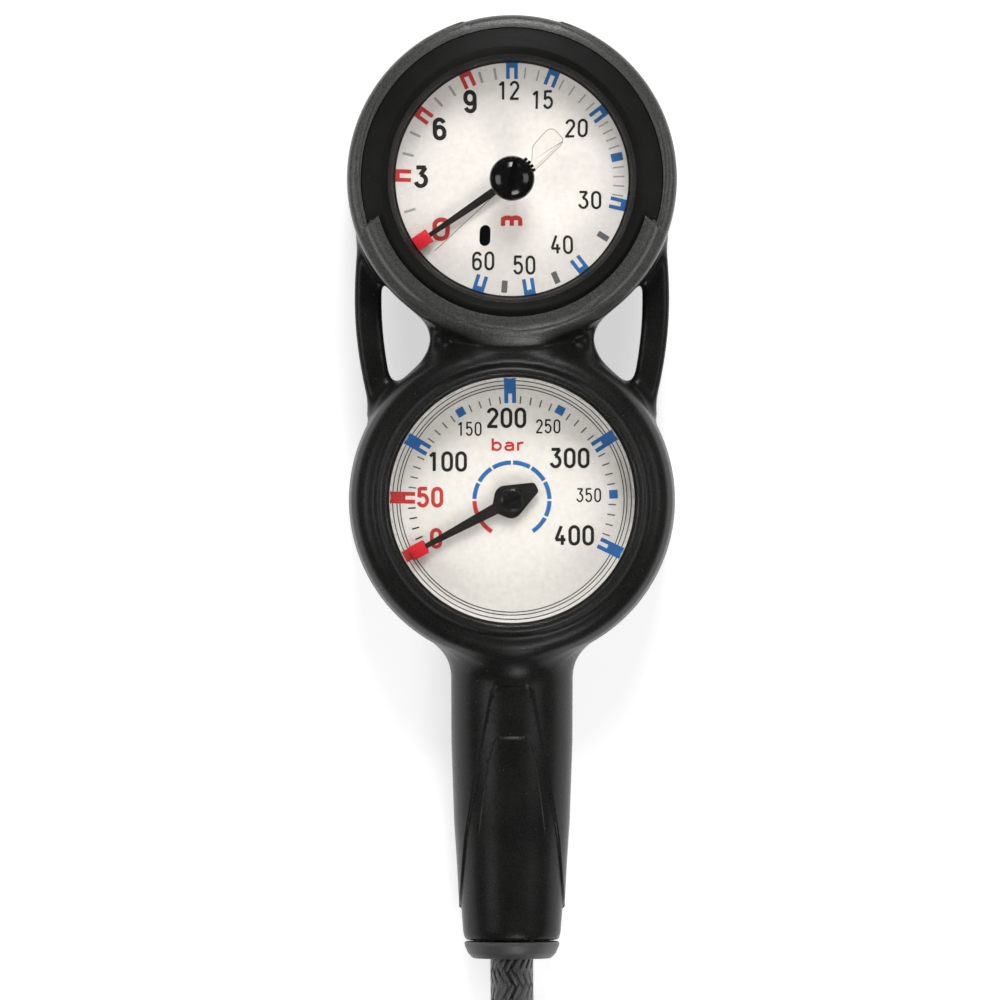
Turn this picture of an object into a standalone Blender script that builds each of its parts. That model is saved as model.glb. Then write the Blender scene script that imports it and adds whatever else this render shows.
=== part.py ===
"""A two-gauge diving console: a depth gauge and a cylinder pressure gauge in one rubber boot, with its hose.

The console lies on its back with both dials facing +Z. +Y points from the pressure gauge to the depth gauge,
and the hose leaves along -Y. The origin is under the middle of the console. All lengths are in metres.
"""

import math

import bmesh
import bpy
from mathutils import Vector

MM = 0.001
GAP = 0.3 * MM  # left between pieces that touch
STEP = 0.05 * MM  # between the faces of two joined plates, so that none lie in one plane

# Sides of the turned pieces
BOOT_SIDES = 40
LARGE_SIDES = 32
MEDIUM_SIDES = 20
SMALL_SIDES = 14
PIN_SIDES = 10

# Boot
BOOT_FLOOR = 2.6 * MM
DEPTH_CUP_WALL = 3.1 * MM
PRESSURE_CUP_WALL = 5.1 * MM
CUP_MERGE = 1.3 * MM  # how far the two cups run into each other
CUP_EDGE = 2.4 * MM  # rounding of a cup's lower edge
BACK_WINDOW_RADIUS = 10.0 * MM
LIP_HEIGHT = 2.6 * MM  # rubber over the gauges' rims
NECK_WIDTH = 36.0 * MM
NECK_HEIGHT = 25.0 * MM
NECK_BOTTOM = 0.8 * MM
STRAP_WIDTH = 5.4 * MM
STRAP_HEIGHT = 12.0 * MM
STRAP_BOTTOM = 7.0 * MM
STRAP_BOW = 0.8 * MM  # how far a strap bulges past its ends

# Handle sleeve and collar, measured from the pressure gauge's centre along the hose
HOSE_AXIS_HEIGHT = 14.5 * MM
SLEEVE_END = 96.2 * MM
SLEEVE_RADIUS = 13.5 * MM  # at the cup
SLEEVE_MOUTH_RADIUS = 10.8 * MM
SLEEVE_FLARE = 3.6 * MM
SHOULDER_BOTTOM = 4.0 * MM
SHOULDER_TOP = 23.0 * MM
COLLAR_LENGTH = 3.8 * MM
COLLAR_CHAMFER = 1.2 * MM

# Gauge cases and movements, the same in both gauges
CASE_FLOOR = 2.2 * MM
PLATE_THICKNESS = 1.2 * MM
PLATE_DISTANCE = 11.5 * MM  # between the movement's two plates
PLATE_CORNER = 2.6 * MM
POST_RADIUS = 1.5 * MM
POST_SIDE = 11.0 * MM  # from the arbor sideways to each post
POST_BACK = 5.0 * MM  # from the arbor back to both posts
DIAL_THICKNESS = 1.0 * MM
POINTER_CLEARANCE = 1.6 * MM
POINTER_THICKNESS = 0.7 * MM
POINTER_HUB_RADIUS = 2.6 * MM
POINTER_NECK_RADIUS = 0.45 * MM  # where the pointer meets its square tip
POINTER_TIP_WIDTH = 3.2 * MM
POINTER_TIP_LENGTH = 3.8 * MM
ARBOR_RADIUS = 0.7 * MM
TOOTH_MODULE = 0.35 * MM
PINION_TEETH = 10
SECTOR_RATIO = 8  # teeth of the whole sector wheel for each pinion tooth
SECTOR_THICKNESS = 1.0 * MM
HAIRSPRING_RADIUS = 6.0 * MM
HAIRSPRING_TURNS = 3.5
HAIRSPRING_WIRE = 0.5 * MM
SECTOR_LIFT = 2.5 * MM  # from the movement's frame to the sector
SECTOR_HUB_RADIUS = 2.4 * MM
SECTOR_TAIL = 3.6 * MM  # from the pivot to the tail's rounded end
TUBE_WIDTH = 2.4 * MM
TUBE_HEIGHT = 7.0 * MM
TUBE_BEYOND_SECTOR = 7.2 * MM
TUBE_LIFT = 1.5 * MM  # from the case's floor
LINK_THICKNESS = 0.8 * MM
SOCKET_HEIGHT = 9.2 * MM

# Depth gauge
DEPTH_DIAL_RADIUS = 25.6 * MM  # as seen inside the black inner ring
DEPTH_RING_SLOPE = 1.6 * MM
DEPTH_LENS_RADIUS = 29.4 * MM
DEPTH_LENS_THICKNESS = 2.8 * MM
DEPTH_LENS_HEIGHT = 7.4 * MM  # from the dial to the lens
DEPTH_CASE_WALL = 2.6 * MM
BEZEL_LIP = 1.9 * MM
BEZEL_OPENING_RADIUS = 27.3 * MM
BEZEL_CHAMFER = 1.8 * MM
BEZEL_FALL = 1.6 * MM  # from the bezel's crest to its outer edge
KNOB_RADIUS = 5.0 * MM
KNOB_HEIGHT = 3.4 * MM
KNOB_STEM_RADIUS = 1.5 * MM
KNOB_SLOT_WIDTH = 1.2 * MM
KNOB_SLOT_ANGLE = 78.0
KNOB_SEAL = 0.55 * MM  # radius of the seal's section
LENS_GASKET = 0.4 * MM
NEEDLE_THICKNESS = 0.5 * MM
NEEDLE_LENGTH = 22.5 * MM
NEEDLE_TAG_LENGTH = 12.3 * MM
DEPTH_POINTER_LENGTH = 25.2 * MM
DIAL_SLOT_CENTRE = (-6.0 * MM, -12.5 * MM)
DIAL_SLOT_RADIUS = 1.2 * MM
DIAL_SLOT_LENGTH = 4.4 * MM
DEPTH_ZERO = 235.8  # degrees clockwise from the top of the dial
DEPTH_TRAVEL = 321.2
NEEDLE_ZERO = 229.0
DIAPHRAGM_RADIUS = 11.7 * MM
DIAPHRAGM_THICKNESS = 0.8 * MM

# Pressure gauge
GLASS_RADIUS = 26.8 * MM
GLASS_HEIGHT = 10.0 * MM  # from the dial to the glass's face
GLASS_FLANGE = 1.8 * MM  # how far the flange stands out
GLASS_FLANGE_THICKNESS = 2.2 * MM
GLASS_BEVEL = 1.3 * MM
GLASS_FLANGE_HEIGHT = 4.6 * MM  # from the dial to the flange
PRESSURE_CASE_WALL = 1.7 * MM
PRESSURE_ZERO = 241.8
PRESSURE_TRAVEL = 234.0
PRESSURE_POINTER_LENGTH = 25.6 * MM
POINTER_TAIL_LENGTH = 8.4 * MM
POINTER_CAP_RADIUS = 2.75 * MM
CAP_SLOT_WIDTH = 0.8 * MM
CAP_SLOT_ANGLE = 25.0
GLASS_GASKET = 0.4 * MM
CASE_RIM = 1.2 * MM  # of the case over the flange
BLOW_OUT_PLUG_RADIUS = 2.9 * MM
BLOW_OUT_PLUG_OFFSET = 4.5 * MM

# Stem, spool and hose
STEM_RADIUS = 5.0 * MM
STEM_LENGTH = 12.0 * MM  # outside the case
SPOOL_RADIUS = 2.1 * MM
SPOOL_LENGTH = 17.0 * MM
SPOOL_SEAL = 0.42 * MM  # radius of the spool seals' section
NUT_ACROSS_FLATS = 14.0 * MM
NUT_LENGTH = 16.0 * MM
NUT_OVER_STEM = 6.0 * MM
FERRULE_RADIUS = 7.0 * MM
FERRULE_LENGTH = 17.0 * MM
HOSE_DIAMETER = 9.5 * MM
HOSE_BORE_CLEARANCE = 0.4 * MM
LEAD_STRAIGHT = 8.0 * MM  # of the hose beyond the collar
LEAD_RADIUS = 45.0 * MM  # of the bend towards the coil
LEAD_POINTS = 5  # round the bend

# Coil of hose beyond the collar
COIL_RADIUS = 54.0 * MM  # of the outermost turn's centreline
COIL_PITCH = 10.0 * MM  # from turn to turn, sideways and upwards
COIL_SIDE = 22.0 * MM  # of the coil's centre, left of the hose's axis
COIL_POINTS_A_TURN = 24
TIE_ANGLE = 180.0
TIE_WIDTH = 8.0 * MM
TIE_THICKNESS = 0.8 * MM
TIE_CLEARANCE = 0.75 * MM
FLOOR_CLEARANCE = 0.1 * MM
TAIL_RISE_LENGTH = 20.0 * MM  # over which the hose rises to the far fitting's axis

# Far end of the hose
FITTING_ACROSS_FLATS = 16.0 * MM
FITTING_HEX_LENGTH = 8.0 * MM
FITTING_THREAD_RADIUS = 5.55 * MM
FITTING_THREAD_LENGTH = 10.0 * MM
FITTING_BORE_RADIUS = 1.8 * MM
PORT_SEAL = 0.6 * MM

# Heights that follow from the sizes above
CASE_BOTTOM = BOOT_FLOOR + GAP
CASE_FLOOR_TOP = CASE_BOTTOM + CASE_FLOOR
FRAME_TOP = CASE_FLOOR_TOP + GAP + PLATE_THICKNESS
BRIDGE_BOTTOM = FRAME_TOP + PLATE_DISTANCE
DIAL_BOTTOM = BRIDGE_BOTTOM + PLATE_THICKNESS + GAP
DIAL_TOP = DIAL_BOTTOM + DIAL_THICKNESS
POINTER_BOTTOM = DIAL_TOP + POINTER_CLEARANCE
POINTER_TOP = POINTER_BOTTOM + POINTER_THICKNESS
NEEDLE_BOTTOM = POINTER_TOP + POINTER_CLEARANCE
LENS_BOTTOM = DIAL_TOP + DEPTH_LENS_HEIGHT
LENS_TOP = LENS_BOTTOM + DEPTH_LENS_THICKNESS
BEZEL_TOP = LENS_TOP + BEZEL_LIP
FLANGE_BOTTOM = DIAL_TOP + GLASS_FLANGE_HEIGHT
FLANGE_TOP = FLANGE_BOTTOM + GLASS_FLANGE_THICKNESS
GLASS_TOP = DIAL_TOP + GLASS_HEIGHT
RING_TOP = GLASS_TOP + GAP
PRESSURE_LIP_BOTTOM = RING_TOP + GAP

# Radii that follow
BEZEL_RADIUS = DEPTH_LENS_RADIUS + GAP + DEPTH_CASE_WALL + 0.7 * MM
DEPTH_CASE_RADIUS = DEPTH_LENS_RADIUS + GAP + DEPTH_CASE_WALL + GAP
DEPTH_POCKET_RADIUS = BEZEL_RADIUS + GAP
DEPTH_CUP_RADIUS = DEPTH_POCKET_RADIUS + DEPTH_CUP_WALL - GAP
FLANGE_RADIUS = GLASS_RADIUS + GLASS_FLANGE
PRESSURE_CASE_RADIUS = FLANGE_RADIUS + GAP + PRESSURE_CASE_WALL
PRESSURE_POCKET_RADIUS = PRESSURE_CASE_RADIUS + GAP
PRESSURE_CUP_RADIUS = PRESSURE_POCKET_RADIUS + PRESSURE_CUP_WALL

# Places that follow, along Y
CUP_SPACING = DEPTH_CUP_RADIUS + PRESSURE_CUP_RADIUS - CUP_MERGE
CONSOLE_LENGTH = DEPTH_CUP_RADIUS + CUP_SPACING + SLEEVE_END + GAP + COLLAR_LENGTH
DEPTH_CENTRE = Vector((0.0, CONSOLE_LENGTH / 2 - DEPTH_CUP_RADIUS, 0.0))
PRESSURE_CENTRE = DEPTH_CENTRE - Vector((0.0, CUP_SPACING, 0.0))
STEM_END = PRESSURE_CASE_RADIUS + STEM_LENGTH  # distances from the pressure gauge's centre
NUT_START = STEM_END - NUT_OVER_STEM
NUT_END = NUT_START + NUT_LENGTH
FERRULE_START = NUT_END + GAP
FERRULE_END = FERRULE_START + FERRULE_LENGTH
HOSE_START = FERRULE_END + GAP
WIDE_BORE_END = HOSE_START + 2.0 * MM
NUT_CORNER_RADIUS = NUT_ACROSS_FLATS / math.sqrt(3)
WIDE_BORE_RADIUS = max(NUT_CORNER_RADIUS, FERRULE_RADIUS) + 2 * GAP
HOSE_BORE_RADIUS = HOSE_DIAMETER / 2 + HOSE_BORE_CLEARANCE
SPOOL_BORE_RADIUS = SPOOL_RADIUS + 0.35 * MM
SPOOL_DEPTH = SPOOL_LENGTH / 2 + GAP

# The coil's place: the bend's circle and the coil's, joined by two straight ends and the gap between them
LEAD_END = SLEEVE_END + GAP + COLLAR_LENGTH + LEAD_STRAIGHT
COIL_ENDS = 2 * HOSE_DIAMETER + GAP
CENTRES_APART = math.hypot(LEAD_RADIUS + COIL_RADIUS, COIL_ENDS)
COIL_AHEAD = math.sqrt(CENTRES_APART ** 2 - (LEAD_RADIUS + COIL_SIDE) ** 2)
COIL_CENTRE = Vector((-COIL_SIDE, PRESSURE_CENTRE.y - LEAD_END - COIL_AHEAD))
# Degrees round the coil's centre, where the hose joins it
COIL_START = math.degrees(math.atan2(COIL_AHEAD, LEAD_RADIUS + COIL_SIDE)
                          - math.atan2(COIL_ENDS, LEAD_RADIUS + COIL_RADIUS))
COIL_TURNS = 2.0 + COIL_START / 360.0

# Gears
PINION_RADIUS = PINION_TEETH * TOOTH_MODULE / 2
SECTOR_TEETH = PINION_TEETH * SECTOR_RATIO
SECTOR_RADIUS = SECTOR_TEETH * TOOTH_MODULE / 2
GEAR_DISTANCE = PINION_RADIUS + SECTOR_RADIUS
SECTOR_BOTTOM = FRAME_TOP + SECTOR_LIFT
TUBE_RADIUS = GEAR_DISTANCE + TUBE_BEYOND_SECTOR  # of the curved tube's centreline
TUBE_FIXED_ANGLE = 253.0
TUBE_TIP_ANGLE = 60.0

BLACK_RUBBER = ("black_rubber", (0.035, 0.035, 0.037), 0.62, 0.0)
BLACK_PLASTIC = ("black_plastic", (0.025, 0.025, 0.027), 0.4, 0.0)
SEAL_RUBBER = ("seal_rubber", (0.02, 0.02, 0.02), 0.55, 0.0)
CLEAR_PLASTIC = ("clear_plastic", (0.9, 0.92, 0.93), 0.04, 0.0)
GLASS = ("glass", (0.9, 0.93, 0.94), 0.02, 0.0)
DIAL_WHITE = ("dial_white", (0.86, 0.86, 0.84), 0.5, 0.0)
POINTER_BLACK = ("pointer_black", (0.02, 0.02, 0.02), 0.35, 0.0)
BRASS = ("brass", (0.72, 0.53, 0.25), 0.3, 1.0)
CHROME = ("chrome", (0.72, 0.73, 0.74), 0.16, 1.0)
STEEL = ("steel", (0.56, 0.57, 0.58), 0.3, 1.0)
BRONZE = ("bronze", (0.62, 0.42, 0.24), 0.32, 1.0)
HOSE_BLACK = ("hose_black", (0.03, 0.03, 0.034), 0.42, 0.0)


def clear_scene():
    for item in list(bpy.data.objects):
        bpy.data.objects.remove(item, do_unlink=True)


def collection(name):
    made = bpy.data.collections.new(name)
    bpy.context.scene.collection.children.link(made)
    return made


def material(finish):
    name, colour, roughness, metallic = finish
    made = bpy.data.materials.get(name)
    if made is None:
        made = bpy.data.materials.new(name)
        made.use_nodes = True
        shader = made.node_tree.nodes["Principled BSDF"]
        shader.inputs["Base Color"].default_value = (*colour, 1.0)
        shader.inputs["Roughness"].default_value = roughness
        shader.inputs["Metallic"].default_value = metallic
    return made


def place(name, data, finish=None, at=(0.0, 0.0, 0.0)):
    """An object of the console or, with no finish, a hidden cutter."""
    item = bpy.data.objects.new(name, data)
    item.location = at
    if finish is None:
        cutters.objects.link(item)
        item.hide_render = True
        item.display_type = "WIRE"
    else:
        console.objects.link(item)
        data.materials.append(material(finish))
    return item


def turned(name, profile, finish=None, at=(0.0, 0.0, 0.0), segments=LARGE_SIDES, along_hose=False):
    """A turned solid. The profile is (radius, height) points, down the outer side and back up the inner one."""
    mesh = bpy.data.meshes.new(name)
    points = [(radius, 0.0, height) for radius, height in profile]
    edges = [(i, i + 1) for i in range(len(points) - 1)]
    if profile[0][0] > 0.0 or profile[-1][0] > 0.0:
        edges.append((len(points) - 1, 0))
    mesh.from_pydata(points, edges, [])
    item = place(name, mesh, finish, at)
    if along_hose:
        item.rotation_euler = (math.pi / 2, 0.0, 0.0)
    screw = item.modifiers.new("Turn", "SCREW")
    screw.steps = screw.render_steps = segments
    screw.use_merge_vertices = True
    screw.merge_threshold = 1e-6
    screw.use_smooth_shade = True
    return item


def plate(name, outline, bottom, top, finish=None, at=(0.0, 0.0, 0.0)):
    """A flat plate with the outline's (x, y) points, as a mesh so that it can be cut and joined."""
    curve = bpy.data.curves.new(name, "CURVE")
    curve.dimensions = "2D"
    curve.fill_mode = "BOTH"
    curve.extrude = (top - bottom) / 2
    spline = curve.splines.new("POLY")
    spline.points.add(len(outline) - 1)
    for point, (x, y) in zip(spline.points, outline):
        point.co = (x, y, 0.0, 1.0)
    spline.use_cyclic_u = True
    guide = bpy.data.objects.new(name + "_outline", curve)
    bpy.context.scene.collection.objects.link(guide)
    bpy.context.view_layer.update()
    graph = bpy.context.evaluated_depsgraph_get()
    mesh = bpy.data.meshes.new_from_object(guide.evaluated_get(graph))
    bpy.data.objects.remove(guide, do_unlink=True)
    shape = bmesh.new()
    shape.from_mesh(mesh)
    bmesh.ops.remove_doubles(shape, verts=shape.verts, dist=1e-6)
    bmesh.ops.recalc_face_normals(shape, faces=shape.faces)
    bmesh.ops.translate(shape, verts=shape.verts, vec=(0.0, 0.0, (top + bottom) / 2))
    shape.to_mesh(mesh)
    shape.free()
    return place(name, mesh, finish, at)


def tube(name, points, radius, finish, bevel_resolution=3):
    """A solid round tube along the points."""
    curve = bpy.data.curves.new(name, "CURVE")
    curve.dimensions = "3D"
    curve.bevel_depth = radius
    curve.bevel_resolution = bevel_resolution
    curve.use_fill_caps = True
    spline = curve.splines.new("POLY")
    spline.points.add(len(points) - 1)
    for point, place_at in zip(spline.points, points):
        point.co = (*place_at, 1.0)
    return place(name, curve, finish)


def boolean(item, other, operation):
    made = item.modifiers.new(operation.title(), "BOOLEAN")
    made.operation = operation
    made.solver = "EXACT"
    made.object = other


def join(item, other):
    boolean(item, other, "UNION")


def cut(item, other):
    boolean(item, other, "DIFFERENCE")


def drum(radius, bottom, top):
    """The profile of a plain cylinder."""
    return [(0.0, top), (radius, top), (radius, bottom), (0.0, bottom)]


def seal(centre_radius, section_radius, height, sides=8):
    """The profile of an O-ring."""
    steps = [-2 * math.pi * i / sides for i in range(sides)]
    return [
        (centre_radius + section_radius * math.cos(a), height + section_radius * math.sin(a))
        for a in steps
    ]


def polar(radius, degrees):
    return radius * math.cos(math.radians(degrees)), radius * math.sin(math.radians(degrees))


def turned_outline(outline, degrees, centre=(0.0, 0.0)):
    """The outline turned about the centre, and then moved there."""
    c, s = math.cos(math.radians(degrees)), math.sin(math.radians(degrees))
    return [(centre[0] + x * c - y * s, centre[1] + x * s + y * c) for x, y in outline]


def clock_angle(degrees_from_top):
    """Degrees anticlockwise from +X, of a dial angle given clockwise from the top."""
    return 90.0 - degrees_from_top


def hull_of_circles(circles, steps=16):
    """The outline that a band stretched round the (x, y, radius) circles would take."""
    points = sorted(
        (x + r * math.cos(2 * math.pi * i / steps), y + r * math.sin(2 * math.pi * i / steps))
        for x, y, r in circles
        for i in range(steps)
    )
    halves = []
    for side in (points, points[::-1]):
        half = []
        for p in side:
            while len(half) > 1 and turn_of(half[-2], half[-1], p) <= 1e-12:
                half.pop()
            half.append(p)
        halves += half[:-1]
    return halves


def turn_of(a, b, c):
    return (b[0] - a[0]) * (c[1] - a[1]) - (b[1] - a[1]) * (c[0] - a[0])


def teeth(pitch_radius, full_count, first, count):
    """Points round gear teeth. The teeth are thin, so that the pair turns freely."""
    step = 360.0 / full_count
    root = pitch_radius - 1.15 * TOOTH_MODULE
    tip = pitch_radius + 0.8 * TOOTH_MODULE
    points = []
    for i in range(count):
        middle = first + i * step
        for radius, share in ((root, -0.27), (tip, -0.12), (tip, 0.12), (root, 0.27)):
            points.append(polar(radius, middle + share * step))
    return points


# Boot, handle sleeve and collar


def cup_profile(radius, rim):
    """A solid cup: the rim's points, then down the side and round the lower edge."""
    return rim + [
        (radius, BOOT_FLOOR + CUP_EDGE),
        (radius - 0.3 * CUP_EDGE, 0.3 * CUP_EDGE),
        (radius - CUP_EDGE, 0.0),
        (0.0, 0.0),
    ]


def depth_rim():
    top = BEZEL_TOP - BEZEL_FALL
    r = DEPTH_CUP_RADIUS
    wall = DEPTH_CUP_WALL
    return [
        (0.0, top),
        (r - 0.95 * wall, top),
        (r - 0.5 * wall, top - 0.8 * MM),
        (r - 0.12 * wall, top - 3.0 * MM),
        (r, top - 6.5 * MM),
    ]


def pressure_rim():
    top = PRESSURE_LIP_BOTTOM + LIP_HEIGHT
    mouth = GLASS_RADIUS + 0.9 * MM
    r = PRESSURE_CUP_RADIUS
    return [
        (0.0, top),
        (mouth + 1.4 * MM, top),
        (mouth + 1.9 * MM, top - 0.6 * MM),
        (r - 4.6 * MM, top - 0.6 * MM),
        (r - 2.4 * MM, top - 1.8 * MM),
        (r - 0.8 * MM, top - 4.4 * MM),
        (r, top - 8.6 * MM),
    ]


def depth_lip():
    """The thicker rubber that laps over the lower half of the depth gauge's bezel."""
    inner = BEZEL_OPENING_RADIUS + BEZEL_CHAMFER + GAP + 0.6 * MM
    outer = DEPTH_CUP_RADIUS - 0.4 * DEPTH_CUP_WALL
    top = BEZEL_TOP + 1.0 * MM
    low = BEZEL_TOP - BEZEL_FALL - 3.0 * MM
    lip = turned(
        "depth_lip",
        [(inner, top), (outer - 2.2 * MM, top), (outer, top - 2.4 * MM), (outer, low), (inner, low)],
        at=DEPTH_CENTRE,
    )
    reach = 2 * DEPTH_CUP_RADIUS
    upper_part = plate(
        "depth_lip_upper_part",
        [(-reach, -0.2 * DEPTH_CUP_RADIUS), (-0.98 * inner, -0.3 * DEPTH_CUP_RADIUS),
         (-0.6 * inner, 0.0), (0.6 * inner, 0.0), (0.98 * inner, -0.2 * DEPTH_CUP_RADIUS),
         (reach, -0.1 * DEPTH_CUP_RADIUS), (reach, reach), (-reach, reach)],
        low - MM, top + MM, at=DEPTH_CENTRE,
    )
    cut(lip, upper_part)
    return lip


def strap_outline(side):
    """One strap loop, from the depth cup's flank to the pressure cup's flank."""
    steps = 8
    top = (DEPTH_CUP_RADIUS - 0.45 * STRAP_WIDTH, DEPTH_CENTRE.y - 0.36 * DEPTH_CUP_RADIUS)
    low = (PRESSURE_CUP_RADIUS - 0.9 * STRAP_WIDTH, PRESSURE_CENTRE.y + 0.54 * PRESSURE_CUP_RADIUS)
    outer, inner = [], []
    for i in range(steps + 1):
        t = i / steps
        x = top[0] + (low[0] - top[0]) * t ** 2 + STRAP_BOW * math.sin(math.pi * t)
        y = top[1] + (low[1] - top[1]) * t
        outer.append((side * x, y))
        inner.append((side * (x - STRAP_WIDTH), y))
    return outer + inner[::-1]


def neck_outline():
    """The web between the cups, narrowest half way."""
    half = NECK_WIDTH / 2
    middle = (DEPTH_CENTRE.y + PRESSURE_CENTRE.y) / 2
    reach = CUP_SPACING / 2
    right = []
    for i in range(9):
        t = i / 4 - 1
        right.append((half + 9.0 * MM * t ** 2, middle + 0.62 * reach * t))
    return right + [(-x, y) for x, y in right[::-1]]


def shoulder_outline():
    """The fillets between the pressure cup and the handle sleeve."""
    top = PRESSURE_CENTRE.y - 0.9 * PRESSURE_CUP_RADIUS
    end = PRESSURE_CENTRE.y - PRESSURE_CUP_RADIUS - SLEEVE_FLARE
    steps = 6
    right = []
    for i in range(steps + 1):
        t = i / steps
        bulge = SLEEVE_FLARE * (1 - t) ** 2
        right.append((SLEEVE_RADIUS - 0.1 * MM + bulge, top + (end - top) * t))
    return right + [(-x, y) for x, y in right[::-1]]


def console_boot():
    boot = turned("console_boot", cup_profile(PRESSURE_CUP_RADIUS, pressure_rim()), BLACK_RUBBER,
                  at=PRESSURE_CENTRE, segments=BOOT_SIDES)
    join(boot, turned("depth_cup", cup_profile(DEPTH_CUP_RADIUS, depth_rim()), at=DEPTH_CENTRE,
                      segments=BOOT_SIDES))
    join(boot, plate("neck", neck_outline(), NECK_BOTTOM, NECK_HEIGHT))
    for side, name in ((-1, "left_strap"), (1, "right_strap")):
        join(boot, plate(name, strap_outline(side), STRAP_BOTTOM, STRAP_BOTTOM + STRAP_HEIGHT))
    join(boot, plate("sleeve_shoulders", shoulder_outline(), SHOULDER_BOTTOM, SHOULDER_TOP))
    taper = SLEEVE_RADIUS - SLEEVE_MOUTH_RADIUS
    start = PRESSURE_POCKET_RADIUS + GAP
    middle = (PRESSURE_CUP_RADIUS + SLEEVE_END) / 2
    join(boot, turned(
        "sleeve",
        [(0.0, SLEEVE_END), (SLEEVE_MOUTH_RADIUS - 0.5 * MM, SLEEVE_END),
         (SLEEVE_MOUTH_RADIUS, SLEEVE_END - 0.8 * MM),
         (SLEEVE_RADIUS - 0.72 * taper, SLEEVE_END - 7.0 * MM),
         (SLEEVE_RADIUS - 0.3 * taper, (middle + SLEEVE_END) / 2),
         (SLEEVE_RADIUS - 0.08 * taper, middle), (SLEEVE_RADIUS, start), (0.0, start)],
        at=hose_point(0.0), along_hose=True, segments=LARGE_SIDES,
    ))
    join(boot, depth_lip())
    cut(boot, turned("depth_pocket", [
        (0.0, BEZEL_TOP + 9.0 * MM),
        (BEZEL_OPENING_RADIUS + BEZEL_CHAMFER + GAP, BEZEL_TOP + 9.0 * MM),
        (BEZEL_OPENING_RADIUS + BEZEL_CHAMFER + GAP, BEZEL_TOP + GAP),
        (DEPTH_POCKET_RADIUS, BEZEL_TOP - BEZEL_FALL + GAP),
        (DEPTH_POCKET_RADIUS, BOOT_FLOOR), (0.0, BOOT_FLOOR),
    ], at=DEPTH_CENTRE, segments=BOOT_SIDES))
    cut(boot, turned("pressure_pocket", [
        (0.0, PRESSURE_LIP_BOTTOM + 9.0 * MM),
        (GLASS_RADIUS + 0.9 * MM, PRESSURE_LIP_BOTTOM + 9.0 * MM),
        (GLASS_RADIUS + 0.9 * MM, PRESSURE_LIP_BOTTOM),
        (PRESSURE_POCKET_RADIUS, PRESSURE_LIP_BOTTOM),
        (PRESSURE_POCKET_RADIUS, BOOT_FLOOR), (0.0, BOOT_FLOOR),
    ], at=PRESSURE_CENTRE, segments=BOOT_SIDES))
    for name, centre in (("depth_window", DEPTH_CENTRE), ("pressure_window", PRESSURE_CENTRE)):
        cut(boot, turned(name, drum(BACK_WINDOW_RADIUS, -MM, BOOT_FLOOR + MM), at=centre,
                         segments=MEDIUM_SIDES))
    cut(boot, turned("sleeve_bore", [
        (0.0, SLEEVE_END + MM), (HOSE_BORE_RADIUS, SLEEVE_END + MM), (HOSE_BORE_RADIUS, WIDE_BORE_END),
        (WIDE_BORE_RADIUS, WIDE_BORE_END), (WIDE_BORE_RADIUS, PRESSURE_POCKET_RADIUS - 4.0 * MM),
        (0.0, PRESSURE_POCKET_RADIUS - 4.0 * MM),
    ], at=hose_point(0.0), along_hose=True, segments=MEDIUM_SIDES))


def hose_point(distance):
    """The point on the hose's axis at a distance from the pressure gauge's centre."""
    return Vector((0.0, PRESSURE_CENTRE.y - distance, HOSE_AXIS_HEIGHT))


def hose_collar():
    start = SLEEVE_END + GAP
    end = start + COLLAR_LENGTH
    outer = SLEEVE_MOUTH_RADIUS - 0.2 * MM
    turned("hose_collar", [
        (outer - COLLAR_CHAMFER, end), (outer - 0.35 * COLLAR_CHAMFER, end - 0.5 * COLLAR_CHAMFER),
        (outer, end - 1.5 * COLLAR_CHAMFER), (outer, start + 0.4 * MM), (outer - 0.4 * MM, start),
        (HOSE_BORE_RADIUS, start), (HOSE_BORE_RADIUS, end),
    ], BLACK_PLASTIC, at=hose_point(0.0), along_hose=True, segments=LARGE_SIDES)


# Movements, the same in both gauges


def movement_outline():
    corners = ((-POST_SIDE, -POST_BACK), (POST_SIDE, -POST_BACK), (0.0, GEAR_DISTANCE))
    return hull_of_circles([(x, y, PLATE_CORNER) for x, y in corners])


def movement_plates(gauge, centre):
    frame = plate(gauge + "_movement_frame", movement_outline(), FRAME_TOP - PLATE_THICKNESS, FRAME_TOP,
                  BRASS, at=centre)
    bridge = plate(gauge + "_movement_bridge", movement_outline(), BRIDGE_BOTTOM,
                   BRIDGE_BOTTOM + PLATE_THICKNESS, BRASS, at=centre)
    for side, name in ((-1, "left"), (1, "right")):
        post = drum(POST_RADIUS, FRAME_TOP - 0.5 * PLATE_THICKNESS, BRIDGE_BOTTOM - GAP)
        join(frame, turned(f"{gauge}_{name}_post", post, segments=PIN_SIDES,
                           at=centre + Vector((side * POST_SIDE, -POST_BACK, 0.0))))
    for y, name in ((0.0, "arbor"), (GEAR_DISTANCE, "sector")):
        hole = turned(f"{gauge}_{name}_hole",
                      drum(ARBOR_RADIUS + GAP, CASE_FLOOR_TOP, DIAL_BOTTOM),
                      at=centre + Vector((0.0, y, 0.0)), segments=PIN_SIDES)
        cut(frame, hole)
        cut(bridge, hole)


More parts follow.
